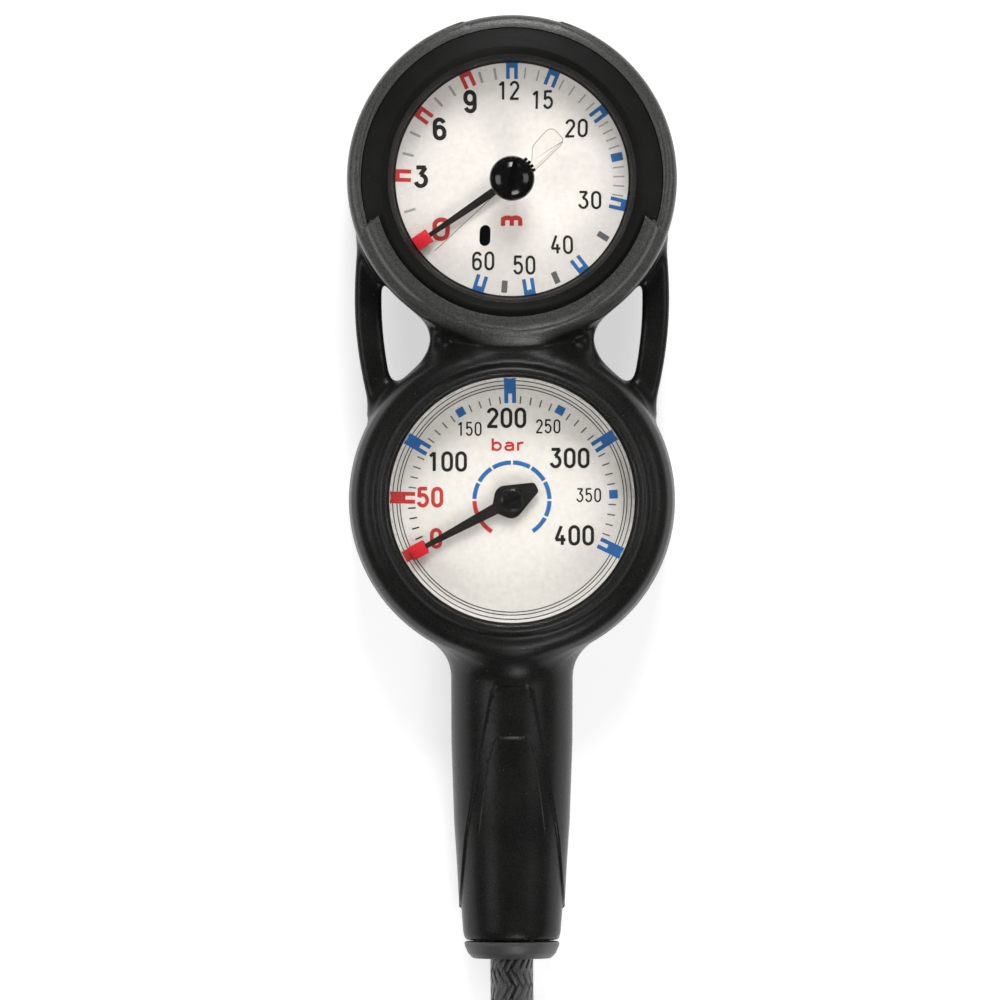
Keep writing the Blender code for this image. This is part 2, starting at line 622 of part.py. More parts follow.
def sector(gauge, centre, travel):
    """The toothed sector on its pivot, turned to where it stands with the pointer at zero."""
    pivot = centre + Vector((0.0, GEAR_DISTANCE, 0.0))
    swing = travel / SECTOR_RATIO
    step = 360.0 / SECTOR_TEETH
    each_side = math.ceil(swing / 2 / step) + 1
    rim = teeth(SECTOR_RADIUS, SECTOR_TEETH, -90.0 - each_side * step, 2 * each_side + 1)
    hub = [polar(SECTOR_HUB_RADIUS, angle) for angle in range(-20, 201, 20)]
    outline = turned_outline(rim + hub, -swing / 2)
    gear = plate(gauge + "_sector", outline, SECTOR_BOTTOM, SECTOR_BOTTOM + SECTOR_THICKNESS, BRASS, at=pivot)
    join(gear, turned(gauge + "_sector_pivot",
                      drum(ARBOR_RADIUS, FRAME_TOP - PLATE_THICKNESS, BRIDGE_BOTTOM + PLATE_THICKNESS),
                      at=pivot, segments=PIN_SIDES))
    tail = turned_outline(hull_of_circles([(0.0, 0.0, 1.4 * MM), (0.0, SECTOR_TAIL, 1.0 * MM)], 12),
                          -swing / 2)
    join(gear, plate(gauge + "_sector_tail", tail, SECTOR_BOTTOM + 0.1 * MM,
                     SECTOR_BOTTOM + SECTOR_THICKNESS - 0.1 * MM, at=pivot))


def arbor(gauge, centre, travel, top):
    """The pointer's shaft with its pinion, whose gap faces the sector's middle tooth half way."""
    shaft = turned(gauge + "_arbor", drum(ARBOR_RADIUS, FRAME_TOP - PLATE_THICKNESS, top), STEEL,
                   at=centre, segments=PIN_SIDES)
    pitch = 360.0 / PINION_TEETH
    rim = teeth(PINION_RADIUS, PINION_TEETH, 90.0 + pitch / 2 + travel / 2, PINION_TEETH)
    join(shaft, plate(gauge + "_pinion", rim, SECTOR_BOTTOM - 0.8 * MM,
                      SECTOR_BOTTOM + SECTOR_THICKNESS + 0.8 * MM, at=centre))


def hairspring(gauge, centre):
    """A flat spiral from beside the arbor to the bridge's rim, fixed at its outer end."""
    inner = ARBOR_RADIUS + GAP + HAIRSPRING_WIRE / 2 + 0.2 * MM
    height = BRIDGE_BOTTOM - GAP - HAIRSPRING_WIRE / 2
    count = round(12 * HAIRSPRING_TURNS)
    points = []
    for i in range(count + 1):
        t = i / count
        x, y = polar(inner + (HAIRSPRING_RADIUS - inner) * t, 360.0 * HAIRSPRING_TURNS * t)
        points.append(centre + Vector((x, y, height)))
    tube(gauge + "_hairspring", points, HAIRSPRING_WIRE / 2, BRONZE, bevel_resolution=0)


def bourdon_tube(gauge, centre):
    """The flattened C-shaped tube that uncurls with pressure, spun from its closed end's section."""
    shape = bmesh.new()
    low = CASE_FLOOR_TOP + TUBE_LIFT
    across, up = TUBE_WIDTH / 2, TUBE_HEIGHT / 2
    corners = [(across, up - across), (0.6 * across, up), (-0.6 * across, up), (-across, up - across)]
    corners += [(-x, -y) for x, y in corners]
    x0, y0 = polar(1.0, TUBE_TIP_ANGLE)
    section = [
        shape.verts.new((x0 * (TUBE_RADIUS + r), y0 * (TUBE_RADIUS + r), low + up + h)) for r, h in corners
    ]
    face = shape.faces.new(section)
    bmesh.ops.spin(
        shape, geom=[face, *face.edges, *face.verts], cent=(0.0, 0.0, 0.0), axis=(0.0, 0.0, 1.0),
        angle=math.radians(TUBE_FIXED_ANGLE - TUBE_TIP_ANGLE), steps=20, use_duplicate=False,
    )
    bmesh.ops.recalc_face_normals(shape, faces=shape.faces)
    mesh = bpy.data.meshes.new(gauge + "_bourdon_tube")
    shape.to_mesh(mesh)
    shape.free()
    place(gauge + "_bourdon_tube", mesh, BRONZE, at=centre)


def link(gauge, centre):
    """The rod from the tube's closed end towards the sector's tail, above the tail."""
    x, y = polar(TUBE_RADIUS - TUBE_WIDTH / 2 - GAP - 1.0 * MM, TUBE_TIP_ANGLE - 1.0)
    bottom = SECTOR_BOTTOM + SECTOR_THICKNESS + GAP
    outline = hull_of_circles([(x, y, 1.0 * MM), (0.6 * MM, GEAR_DISTANCE + SECTOR_TAIL, 0.9 * MM)], 12)
    plate(gauge + "_link", outline, bottom, bottom + LINK_THICKNESS, STEEL, at=centre)


def tube_socket_outline():
    """The block that holds the tube's fixed end, beside the case's wall."""
    end = polar(TUBE_RADIUS - TUBE_WIDTH / 2, TUBE_FIXED_ANGLE)
    half = abs(end[0]) - GAP
    return [(-half, -TUBE_RADIUS + 6.0 * MM), (-half, -TUBE_RADIUS - 3.0 * MM),
            (half, -TUBE_RADIUS - 3.0 * MM), (half, -TUBE_RADIUS + 6.0 * MM)]


def movement(gauge, centre, travel, arbor_top):
    movement_plates(gauge, centre)
    sector(gauge, centre, travel)
    arbor(gauge, centre, travel, arbor_top)
    hairspring(gauge, centre)
    bourdon_tube(gauge, centre)
    link(gauge, centre)


# Depth gauge


def depth_case():
    inner = DEPTH_LENS_RADIUS + GAP
    top = LENS_BOTTOM - GAP
    turned("depth_case", [
        (DEPTH_CASE_RADIUS, top), (DEPTH_CASE_RADIUS, CASE_BOTTOM + 1.5 * MM),
        (DEPTH_CASE_RADIUS - 1.5 * MM, CASE_BOTTOM), (DIAPHRAGM_RADIUS + GAP, CASE_BOTTOM),
        (DIAPHRAGM_RADIUS + GAP, CASE_FLOOR_TOP), (inner, CASE_FLOOR_TOP), (inner, top),
    ], BLACK_PLASTIC, at=DEPTH_CENTRE)
    middle = (CASE_BOTTOM + CASE_FLOOR_TOP) / 2
    half = DIAPHRAGM_THICKNESS / 2
    r = DIAPHRAGM_RADIUS
    turned("depth_back_diaphragm", [
        (0.0, middle + half), (0.35 * r, middle + half), (0.5 * r, middle + half + 0.5 * MM),
        (0.65 * r, middle + half), (r, middle + half), (r, middle - half), (0.65 * r, middle - half),
        (0.5 * r, middle - half + 0.5 * MM), (0.35 * r, middle - half), (0.0, middle - half),
    ], SEAL_RUBBER, at=DEPTH_CENTRE, segments=MEDIUM_SIDES)


def depth_front():
    inner_ring_top = LENS_BOTTOM - GAP - 1.1 * MM
    turned("depth_inner_ring", [
        (DEPTH_LENS_RADIUS, inner_ring_top), (DEPTH_LENS_RADIUS, DIAL_TOP + GAP),
        (DEPTH_DIAL_RADIUS, DIAL_TOP + GAP), (DEPTH_DIAL_RADIUS + DEPTH_RING_SLOPE, inner_ring_top),
    ], BLACK_PLASTIC, at=DEPTH_CENTRE)
    turned("depth_lens_gasket",
           seal(DEPTH_LENS_RADIUS - 1.0 * MM, LENS_GASKET, inner_ring_top + GAP / 2 + LENS_GASKET, 6),
           SEAL_RUBBER, at=DEPTH_CENTRE)
    hole = KNOB_STEM_RADIUS + 1.1 * MM
    turned("depth_lens", [
        (DEPTH_LENS_RADIUS, LENS_TOP), (DEPTH_LENS_RADIUS, LENS_BOTTOM), (hole, LENS_BOTTOM),
        (hole, LENS_TOP),
    ], CLEAR_PLASTIC, at=DEPTH_CENTRE)
    turned("depth_bezel", [
        (BEZEL_OPENING_RADIUS + BEZEL_CHAMFER, BEZEL_TOP), (BEZEL_RADIUS, BEZEL_TOP - BEZEL_FALL),
        (BEZEL_RADIUS, LENS_BOTTOM), (DEPTH_LENS_RADIUS + GAP, LENS_BOTTOM),
        (DEPTH_LENS_RADIUS + GAP, LENS_TOP + GAP),
        (BEZEL_OPENING_RADIUS, LENS_TOP + GAP), (BEZEL_OPENING_RADIUS, LENS_TOP + GAP + 0.3 * MM),
    ], BLACK_PLASTIC, at=DEPTH_CENTRE)


def depth_dial():
    dial = turned("depth_dial", [
        (DEPTH_LENS_RADIUS, DIAL_TOP), (DEPTH_LENS_RADIUS, DIAL_BOTTOM),
        (ARBOR_RADIUS + GAP, DIAL_BOTTOM), (ARBOR_RADIUS + GAP, DIAL_TOP),
    ], DIAL_WHITE, at=DEPTH_CENTRE)
    x, y = DIAL_SLOT_CENTRE
    reach = DIAL_SLOT_LENGTH / 2 - DIAL_SLOT_RADIUS
    slot = hull_of_circles([(x, y + reach, DIAL_SLOT_RADIUS), (x, y - reach, DIAL_SLOT_RADIUS)])
    cut(dial, plate("depth_dial_slot", slot, DIAL_BOTTOM - MM, DIAL_TOP + MM, at=DEPTH_CENTRE))


def hub_hole(name, item, centre, radius, bottom, top):
    cut(item, turned(name, drum(radius, bottom - MM, top + MM), at=centre, segments=PIN_SIDES))


def pointer(gauge, centre, length, angle):
    """A tapered arm with a square tip, on a round hub with the arbor's hole."""
    neck_at = length - POINTER_TIP_LENGTH + POINTER_NECK_RADIUS
    outline = hull_of_circles([(0.0, 0.0, POINTER_HUB_RADIUS), (neck_at, 0.0, POINTER_NECK_RADIUS)])
    arm = plate(gauge + "_pointer", turned_outline(outline, angle), POINTER_BOTTOM, POINTER_TOP,
                POINTER_BLACK, at=centre)
    start, half = length - POINTER_TIP_LENGTH, POINTER_TIP_WIDTH / 2
    tip = turned_outline([(start, -half), (length, -half), (length, half), (start, half)], angle)
    join(arm, plate(gauge + "_pointer_tip", tip, POINTER_BOTTOM + STEP, POINTER_TOP - STEP, at=centre))
    hub_hole(gauge + "_pointer_hole", arm, centre, ARBOR_RADIUS + GAP, POINTER_BOTTOM, POINTER_TOP)
    return arm


def max_depth_needle():
    """The clear trailing needle: a thin arm, a round hub and a broad tag behind it."""
    angle = clock_angle(NEEDLE_ZERO)
    top = NEEDLE_BOTTOM + NEEDLE_THICKNESS
    arm = turned_outline(hull_of_circles([(0.0, 0.0, 2.0 * MM), (NEEDLE_LENGTH, 0.0, 0.25 * MM)]), angle)
    needle = plate("max_depth_needle", arm, NEEDLE_BOTTOM, top, CLEAR_PLASTIC, at=DEPTH_CENTRE)
    tag = turned_outline(hull_of_circles([(-3.0 * MM, 0.0, 2.2 * MM),
                                          (-NEEDLE_TAG_LENGTH, 1.2 * MM, 1.5 * MM),
                                          (-NEEDLE_TAG_LENGTH, -1.9 * MM, 1.5 * MM)]), angle)
    join(needle, plate("needle_tag", tag, NEEDLE_BOTTOM + STEP, top - STEP, at=DEPTH_CENTRE))
    hub_hole("needle_hole", needle, DEPTH_CENTRE, KNOB_STEM_RADIUS + GAP, NEEDLE_BOTTOM, top)


def slot_outline(reach, width):
    half = width / 2
    return [(-reach, -half), (reach, -half), (reach, half), (-reach, half)]


def reset_knob():
    """The knob on the lens, with the stem that turns the needle."""
    base = LENS_TOP + GAP
    foot = NEEDLE_BOTTOM - 0.4 * MM
    r, h = KNOB_RADIUS, KNOB_HEIGHT
    groove = (LENS_TOP + LENS_BOTTOM) / 2
    neck = KNOB_STEM_RADIUS - 0.35 * MM
    knob = turned("depth_reset_knob", [
        (0.0, base + h), (0.45 * r, base + 0.95 * h), (0.75 * r, base + 0.78 * h),
        (0.93 * r, base + 0.5 * h), (r, base + 0.15 * h), (0.97 * r, base), (KNOB_STEM_RADIUS, base),
        (KNOB_STEM_RADIUS, groove + 0.7 * MM), (neck, groove + 0.7 * MM), (neck, groove - 0.7 * MM),
        (KNOB_STEM_RADIUS, groove - 0.7 * MM), (KNOB_STEM_RADIUS, foot), (0.0, foot),
    ], POINTER_BLACK, at=DEPTH_CENTRE, segments=MEDIUM_SIDES)
    slot = turned_outline(slot_outline(1.2 * r, KNOB_SLOT_WIDTH), KNOB_SLOT_ANGLE)
    cut(knob, plate("knob_slot", slot, base + 0.5 * h, base + 2 * h, at=DEPTH_CENTRE))
    turned("reset_knob_seal", seal(neck + 0.15 * MM + KNOB_SEAL, KNOB_SEAL, groove, 6), SEAL_RUBBER,
           at=DEPTH_CENTRE, segments=SMALL_SIDES)


def depth_gauge():
    depth_case()
    movement("depth", DEPTH_CENTRE, DEPTH_TRAVEL, POINTER_TOP)
    socket_bottom = CASE_FLOOR_TOP + GAP
    plate("depth_tube_socket", tube_socket_outline(), socket_bottom, socket_bottom + SOCKET_HEIGHT,
          BRASS, at=DEPTH_CENTRE)
    depth_dial()
    pointer("depth", DEPTH_CENTRE, DEPTH_POINTER_LENGTH, clock_angle(DEPTH_ZERO))
    max_depth_needle()
    depth_front()
    reset_knob()


# Pressure gauge


def pressure_case():
    flange_bore = FLANGE_RADIUS + GAP
    inner = flange_bore - 1.5 * MM
    shelf = FLANGE_BOTTOM - GAP - 1.0 * MM
    top = FLANGE_TOP + GAP + CASE_RIM
    case = turned("pressure_case", [
        (PRESSURE_CASE_RADIUS, top), (PRESSURE_CASE_RADIUS, CASE_BOTTOM + 1.5 * MM),
        (PRESSURE_CASE_RADIUS - 1.5 * MM, CASE_BOTTOM), (0.0, CASE_BOTTOM), (0.0, CASE_FLOOR_TOP),
        (inner, CASE_FLOOR_TOP), (inner, shelf), (flange_bore, shelf), (flange_bore, top),
    ], CHROME, at=PRESSURE_CENTRE)
    cut(case, turned("stem_hole", drum(STEM_RADIUS + GAP, TUBE_RADIUS, PRESSURE_CASE_RADIUS + 5.0 * MM),
                     at=hose_point(0.0), along_hose=True, segments=MEDIUM_SIDES))
    plug_at = PRESSURE_CENTRE + Vector((0.0, BLOW_OUT_PLUG_OFFSET, 0.0))
    r = BLOW_OUT_PLUG_RADIUS
    cut(case, turned("plug_hole", drum(r + GAP, CASE_BOTTOM - MM, CASE_FLOOR_TOP + MM), at=plug_at,
                     segments=SMALL_SIDES))
    turned("blow_out_plug", [
        (0.0, CASE_FLOOR_TOP), (r, CASE_FLOOR_TOP), (r, CASE_BOTTOM - GAP), (r + 1.1 * MM, CASE_BOTTOM - GAP),
        (r + 1.1 * MM, CASE_BOTTOM - 1.1 * MM), (0.0, CASE_BOTTOM - 1.1 * MM),
    ], SEAL_RUBBER, at=plug_at, segments=SMALL_SIDES)


def pressure_front():
    turned("pressure_glass", [
        (0.0, GLASS_TOP), (GLASS_RADIUS - GLASS_BEVEL, GLASS_TOP),
        (GLASS_RADIUS, GLASS_TOP - GLASS_BEVEL), (GLASS_RADIUS, FLANGE_TOP), (FLANGE_RADIUS, FLANGE_TOP),
        (FLANGE_RADIUS, FLANGE_BOTTOM), (0.0, FLANGE_BOTTOM),
    ], GLASS, at=PRESSURE_CENTRE)
    turned("pressure_glass_gasket",
           seal(FLANGE_RADIUS - 0.5 * MM, GLASS_GASKET, FLANGE_BOTTOM - GAP / 2 - GLASS_GASKET, 6),
           SEAL_RUBBER, at=PRESSURE_CENTRE)
    inner = GLASS_RADIUS + GAP
    case_top = FLANGE_TOP + GAP + CASE_RIM
    turned("pressure_retaining_ring", [
        (PRESSURE_CASE_RADIUS, RING_TOP), (PRESSURE_CASE_RADIUS, case_top + GAP),
        (FLANGE_RADIUS, case_top + GAP), (FLANGE_RADIUS, FLANGE_TOP + GAP), (inner, FLANGE_TOP + GAP),
        (inner, RING_TOP - 0.6 * MM), (inner + 0.6 * MM, RING_TOP),
    ], BLACK_PLASTIC, at=PRESSURE_CENTRE)


def pressure_dial():
    radius = FLANGE_RADIUS - 1.5 * MM
    turned("pressure_dial", [
        (radius, DIAL_TOP), (radius, DIAL_BOTTOM), (ARBOR_RADIUS + GAP, DIAL_BOTTOM),
        (ARBOR_RADIUS + GAP, DIAL_TOP),
    ], DIAL_WHITE, at=PRESSURE_CENTRE)


def pressure_pointer():
    """The pointer with its counterweight, and the slotted cap over its hub."""
    angle = clock_angle(PRESSURE_ZERO)
    arm = pointer("pressure", PRESSURE_CENTRE, PRESSURE_POINTER_LENGTH, angle)
    end = -POINTER_TAIL_LENGTH
    tail = turned_outline([(-2.0 * MM, -1.6 * MM), (-2.0 * MM, 1.6 * MM), (0.6 * end, 3.2 * MM),
                           (end, 2.6 * MM), (end, -2.6 * MM), (0.6 * end, -3.2 * MM)], angle)
    join(arm, plate("pressure_pointer_tail", tail, POINTER_BOTTOM + STEP, POINTER_TOP - STEP,
                    at=PRESSURE_CENTRE))
    base = POINTER_TOP + GAP
    r = POINTER_CAP_RADIUS
    cap = turned("pressure_pointer_cap", [
        (0.0, base + 1.0 * MM), (0.8 * r, base + 1.0 * MM), (r, base + 0.6 * MM), (r, base), (0.0, base),
    ], POINTER_BLACK, at=PRESSURE_CENTRE, segments=SMALL_SIDES)
    slot = turned_outline(slot_outline(1.3 * r, CAP_SLOT_WIDTH), CAP_SLOT_ANGLE)
    cut(cap, plate("cap_slot", slot, base + 0.5 * MM, base + 2.0 * MM, at=PRESSURE_CENTRE))


def pressure_stem():
    """The block inside the case, with the stem that carries the hose outside it."""
    block_top = DIAL_BOTTOM - 0.5 * MM
    stem = plate("pressure_stem", tube_socket_outline(), CASE_FLOOR_TOP + GAP, block_top, BRASS,
                 at=PRESSURE_CENTRE)
    join(stem, turned("stem_outside", [
        (0.0, STEM_END), (STEM_RADIUS - 0.6 * MM, STEM_END), (STEM_RADIUS, STEM_END - 0.6 * MM),
        (STEM_RADIUS, TUBE_RADIUS), (0.0, TUBE_RADIUS),
    ], at=hose_point(0.0), along_hose=True, segments=MEDIUM_SIDES))
    cut(stem, turned("stem_bore", drum(SPOOL_BORE_RADIUS, STEM_END - SPOOL_DEPTH, STEM_END + MM),
                     at=hose_point(0.0), along_hose=True, segments=SMALL_SIDES))


def pressure_gauge():
    pressure_case()
    movement("pressure", PRESSURE_CENTRE, PRESSURE_TRAVEL, POINTER_TOP)
    pressure_stem()
    pressure_dial()
    pressure_pointer()
    pressure_front()


# Hose joint


def air_spool():
    """The double-ended pin that seals the swivelling hose to the stem, and its two seals."""
    low, high = STEM_END - SPOOL_LENGTH / 2, STEM_END + SPOOL_LENGTH / 2
    neck = SPOOL_RADIUS - 0.75 * MM
    half = SPOOL_SEAL + 0.2 * MM
    grooves = (high - 2.6 * MM, low + 2.6 * MM)
    profile = [(0.0, high), (SPOOL_RADIUS, high)]
    for middle in grooves:
        profile += [(SPOOL_RADIUS, middle + half), (neck, middle + half), (neck, middle - half),
                    (SPOOL_RADIUS, middle - half)]
    profile += [(SPOOL_RADIUS, low), (0.0, low)]
    turned("air_spool", profile, STEEL, at=hose_point(0.0), along_hose=True, segments=SMALL_SIDES)
    for name, middle in zip(("hose_side_spool_seal", "gauge_side_spool_seal"), grooves):
        turned(name, seal(neck + 0.13 * MM + SPOOL_SEAL, SPOOL_SEAL, middle, 6), SEAL_RUBBER,
               at=hose_point(0.0), along_hose=True, segments=SMALL_SIDES)


def hexagon(across_flats):
    return [polar(across_flats / math.sqrt(3), 60.0 * i) for i in range(6)]


def along_hose_plate(name, outline, start, end, finish=None):
    """A plate whose thickness runs along the hose's axis."""
    item = plate(name, outline, start, end, finish, at=hose_point(0.0))
    item.rotation_euler = (math.pi / 2, 0.0, 0.0)
    return item


def swivel_nut():
    nut = along_hose_plate("hose_swivel_nut", hexagon(NUT_ACROSS_FLATS), NUT_START, NUT_END, CHROME)
    cut(nut, turned("nut_bore", [
        (0.0, STEM_END + SPOOL_DEPTH), (SPOOL_BORE_RADIUS, STEM_END + SPOOL_DEPTH),
        (SPOOL_BORE_RADIUS, STEM_END + GAP), (STEM_RADIUS + GAP, STEM_END + GAP),
        (STEM_RADIUS + GAP, NUT_START - MM), (0.0, NUT_START - MM),
    ], at=hose_point(0.0), along_hose=True, segments=MEDIUM_SIDES))


def ferrule_profile(start, end):
    """A crimped sleeve: shallow waists between plain bands."""
    r = FERRULE_RADIUS
    bands = 3
    profile = [(0.0, end), (r - 0.6 * MM, end), (r, end - 0.6 * MM)]
    length = end - start - 1.2 * MM
    for i in range(bands):
        top = end - 0.6 * MM - length * i / bands
        profile += [(r, top - 0.35 * length / bands), (r - 0.5 * MM, top - 0.5 * length / bands),
                    (r - 0.5 * MM, top - 0.8 * length / bands), (r, top - 0.95 * length / bands)]
    return profile + [(r - 0.6 * MM, start), (0.0, start)]


def gauge_end_of_hose():
    swivel_nut()
    turned("gauge_end_ferrule", ferrule_profile(FERRULE_START, FERRULE_END), CHROME, at=hose_point(0.0),
           along_hose=True, segments=SMALL_SIDES)


# Free hose, coil and far end


def coil_frame(turns):
    """The centreline point and direction after so many turns from the coil's start, seen from above clockwise."""
    middle = COIL_TURNS / 2
    radius = COIL_RADIUS - COIL_PITCH * (middle - abs(turns - middle))
    angle = math.radians(COIL_START - 360.0 * turns)
    left = min(max((middle - turns) / 0.5 + 0.5, 0.0), 1.0)
    height = HOSE_DIAMETER / 2 + FLOOR_CLEARANCE + COIL_PITCH * left ** 2 * (3 - 2 * left)
    height += tie_lift(math.degrees(angle))
    point = Vector((COIL_CENTRE.x + radius * math.cos(angle), COIL_CENTRE.y + radius * math.sin(angle),
                    height))
    return point, Vector((math.sin(angle), -math.cos(angle), 0.0))


def tie_lift(degrees):
    """The hose rises a little where it lies on the tie."""
    away = (degrees - TIE_ANGLE + 180.0) % 360.0 - 180.0
    return (TIE_THICKNESS + TIE_CLEARANCE) * math.exp(-(away / 35.0) ** 2)


def smooth_route(points, directions, steps):
    """Points along a smooth curve through the given ones, with the direction set at its two ends."""
    tangents = [(b - a) / 2 for a, b in zip(points[:-2], points[2:])]
    first = directions[0] * (points[1] - points[0]).length
    last = directions[1] * (points[-1] - points[-2]).length
    tangents = [first, *tangents, last]
    route = []
    for a, b, s, e in zip(points[:-1], points[1:], tangents[:-1], tangents[1:]):
        for i in range(steps):
            t = i / steps
            route.append(
                a * (2 * t ** 3 - 3 * t ** 2 + 1) + s * (t ** 3 - 2 * t ** 2 + t)
                + b * (3 * t ** 2 - 2 * t ** 3) + e * (t ** 3 - t ** 2)
            )
    return [*route, points[-1]]


def even_points(route, spacing):
    """The route again, with points an even distance apart."""
    lengths = [(b - a).length for a, b in zip(route[:-1], route[1:])]
    count = max(2, round(sum(lengths) / spacing))
    step = sum(lengths) / count
    points, walked, target = [route[0]], 0.0, step
    for (a, b), length in zip(zip(route[:-1], route[1:]), lengths):
        while walked + length >= target - 1e-9 and len(points) < count:
            points.append(a.lerp(b, (target - walked) / length))
            target += step
        walked += length
    return [*points, route[-1]]


def length_of(points):
    return sum((b - a).length for a, b in zip(points[:-1], points[1:]))


def hose_lead():
    """The hose inside the sleeve, out of the collar and across to the coil's top layer."""
    start, out = hose_point(HOSE_START), hose_point(LEAD_END)
    join_at, heading = coil_frame(0.0)
    rise = join_at.z - out.z
    bend = []
    for i in range(1, LEAD_POINTS + 1):
        x, y = polar(LEAD_RADIUS, COIL_START * i / LEAD_POINTS)
        bend.append(out + Vector((LEAD_RADIUS - x, -y, rise * i / LEAD_POINTS)))
    end = join_at - heading * (HOSE_DIAMETER + GAP)
    points = even_points([start, out], 2 * HOSE_DIAMETER) + bend + [end]
    tube("hose_lead", points, HOSE_DIAMETER / 2, HOSE_BLACK)
    return points


def hose_coil():
    """Two layers of hose: inwards on top, down, and outwards on the floor."""
    count = round(COIL_POINTS_A_TURN * COIL_TURNS)
    points = [coil_frame(COIL_TURNS * i / count)[0] for i in range(count + 1)]
    first, first_heading = coil_frame(0.0)
    last, last_heading = coil_frame(COIL_TURNS)
    points = [first - first_heading * HOSE_DIAMETER, *points, last + last_heading * HOSE_DIAMETER]
    tube("hose_coil", points, HOSE_DIAMETER / 2, HOSE_BLACK, bevel_resolution=1)
    return points


def hose_tail():
    """From the coil's lower layer, along the floor, to the far ferrule."""
    leave, away = coil_frame(COIL_TURNS)
    start = leave + away * (HOSE_DIAMETER + GAP)
    axis = FITTING_ACROSS_FLATS / 2 + FLOOR_CLEARANCE
    foot = start + away * HOSE_DIAMETER
    crest = Vector((foot.x, foot.y - TAIL_RISE_LENGTH, axis))
    slope = smooth_route([foot, foot.lerp(crest, 0.5), crest], (away, away), 10)
    points = [start, *even_points(slope, HOSE_DIAMETER), crest + away * HOSE_DIAMETER]
    tube("hose_tail", points, HOSE_DIAMETER / 2, HOSE_BLACK)
    return points


def far_fitting(tail_end):
    """The far ferrule and the fitting that screws into the first stage, lying on the floor."""
    start = tail_end + Vector((0.0, -GAP, 0.0))

    def at_end(item):
        item.location = start
        return item

    at_end(turned("far_end_ferrule", ferrule_profile(0.0, FERRULE_LENGTH), CHROME, along_hose=True,
                  segments=SMALL_SIDES))
    hex_start = FERRULE_LENGTH + GAP
    hex_end = hex_start + FITTING_HEX_LENGTH
    fitting = at_end(along_hose_plate("first_stage_fitting", hexagon(FITTING_ACROSS_FLATS), hex_start,
                                      hex_end, CHROME))
    r = FITTING_THREAD_RADIUS
    groove = hex_end + 1.6 * MM
    thread_end = hex_end + FITTING_THREAD_LENGTH
    join(fitting, at_end(turned("fitting_thread", [
        (0.0, thread_end), (r - 0.8 * MM, thread_end), (r, thread_end - 0.8 * MM), (r, groove),
        (r - 0.9 * MM, groove), (r - 0.9 * MM, hex_end - MM), (0.0, hex_end - MM),
    ], along_hose=True, segments=MEDIUM_SIDES)))
    cut(fitting, at_end(turned("fitting_bore",
                               drum(FITTING_BORE_RADIUS, hex_start + 3.0 * MM, thread_end + MM),
                               along_hose=True, segments=PIN_SIDES)))
    seal_at = r - 0.9 * MM + 0.15 * MM + PORT_SEAL
    at_end(turned("port_seal", seal(seal_at, PORT_SEAL, hex_end + 0.8 * MM, 6), SEAL_RUBBER,
                  along_hose=True, segments=SMALL_SIDES))


def coil_tie():
    """A flat strap round the two turns."""
    reached = (COIL_START - TIE_ANGLE) % 360.0 / 360.0
    high, _ = coil_frame(reached)
    low, _ = coil_frame(reached + 1.0)
    inner = HOSE_DIAMETER / 2 + TIE_CLEARANCE
    half = 8
    outline = []
    for centre, first in ((high, 0.0), (low, 180.0)):
        for i in range(half + 1):
            x, z = polar(inner, first + 180.0 * i / half)
            outline.append((centre.x + x, centre.z + z))
    shape = bmesh.new()
    near = [shape.verts.new((x, low.y - TIE_WIDTH / 2, z)) for x, z in outline]
    edges = [shape.edges.new((a, b)) for a, b in zip(near, near[1:] + near[:1])]
    made = bmesh.ops.extrude_edge_only(shape, edges=edges)["geom"]
    bmesh.ops.translate(shape, verts=[v for v in made if isinstance(v, bmesh.types.BMVert)],
                        vec=(0.0, TIE_WIDTH, 0.0))
    bmesh.ops.recalc_face_normals(shape, faces=shape.faces)
    mesh = bpy.data.meshes.new("coil_tie")
    shape.to_mesh(mesh)
    shape.free()
    tie = place("coil_tie", mesh, BLACK_RUBBER)
    wall = tie.modifiers.new("Wall", "SOLIDIFY")
    wall.thickness = TIE_THICKNESS
    wall.offset = 1.0
    wall.use_even_offset = True


def least_gap(points, diameter):
    """The least distance between the surfaces of two stretches of one tube, three diameters apart along it."""
    fine = even_points(points, diameter / 4)
    pairs = ((i, j) for i in range(len(fine)) for j in range(i + 13, len(fine)))
    return min((fine[i] - fine[j]).length for i, j in pairs) - diameter


def hose():
    gauge_end_of_hose()
    lead = hose_lead()
    coil = hose_coil()
    tail = hose_tail()
    far_fitting(tail[-1])
    coil_tie()
    print(f"hose centreline {length_of(lead) + length_of(coil) + length_of(tail):.4f} m,",
          f"least gap in the coil {1000 * least_gap(coil, HOSE_DIAMETER):.2f} mm")


clear_scene()
console = collection("diving_console")
cutters = collection("cutters")
console_boot()
hose_collar()
depth_gauge()
pressure_gauge()
air_spool()
hose()
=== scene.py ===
# %% [markdown]
# # A diving gauge console, piece by piece
# The object is a rubber boot that holds a depth gauge and a cylinder pressure gauge, with a
# braided hose leaving its handle. The moving model was built and packed first. It is loaded
# here as a fixed frame, and each finer piece is laid over the plain solid it stands for.

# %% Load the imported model
import math
import bmesh
import bpy
import numpy as np
from mathutils import Matrix, Vector


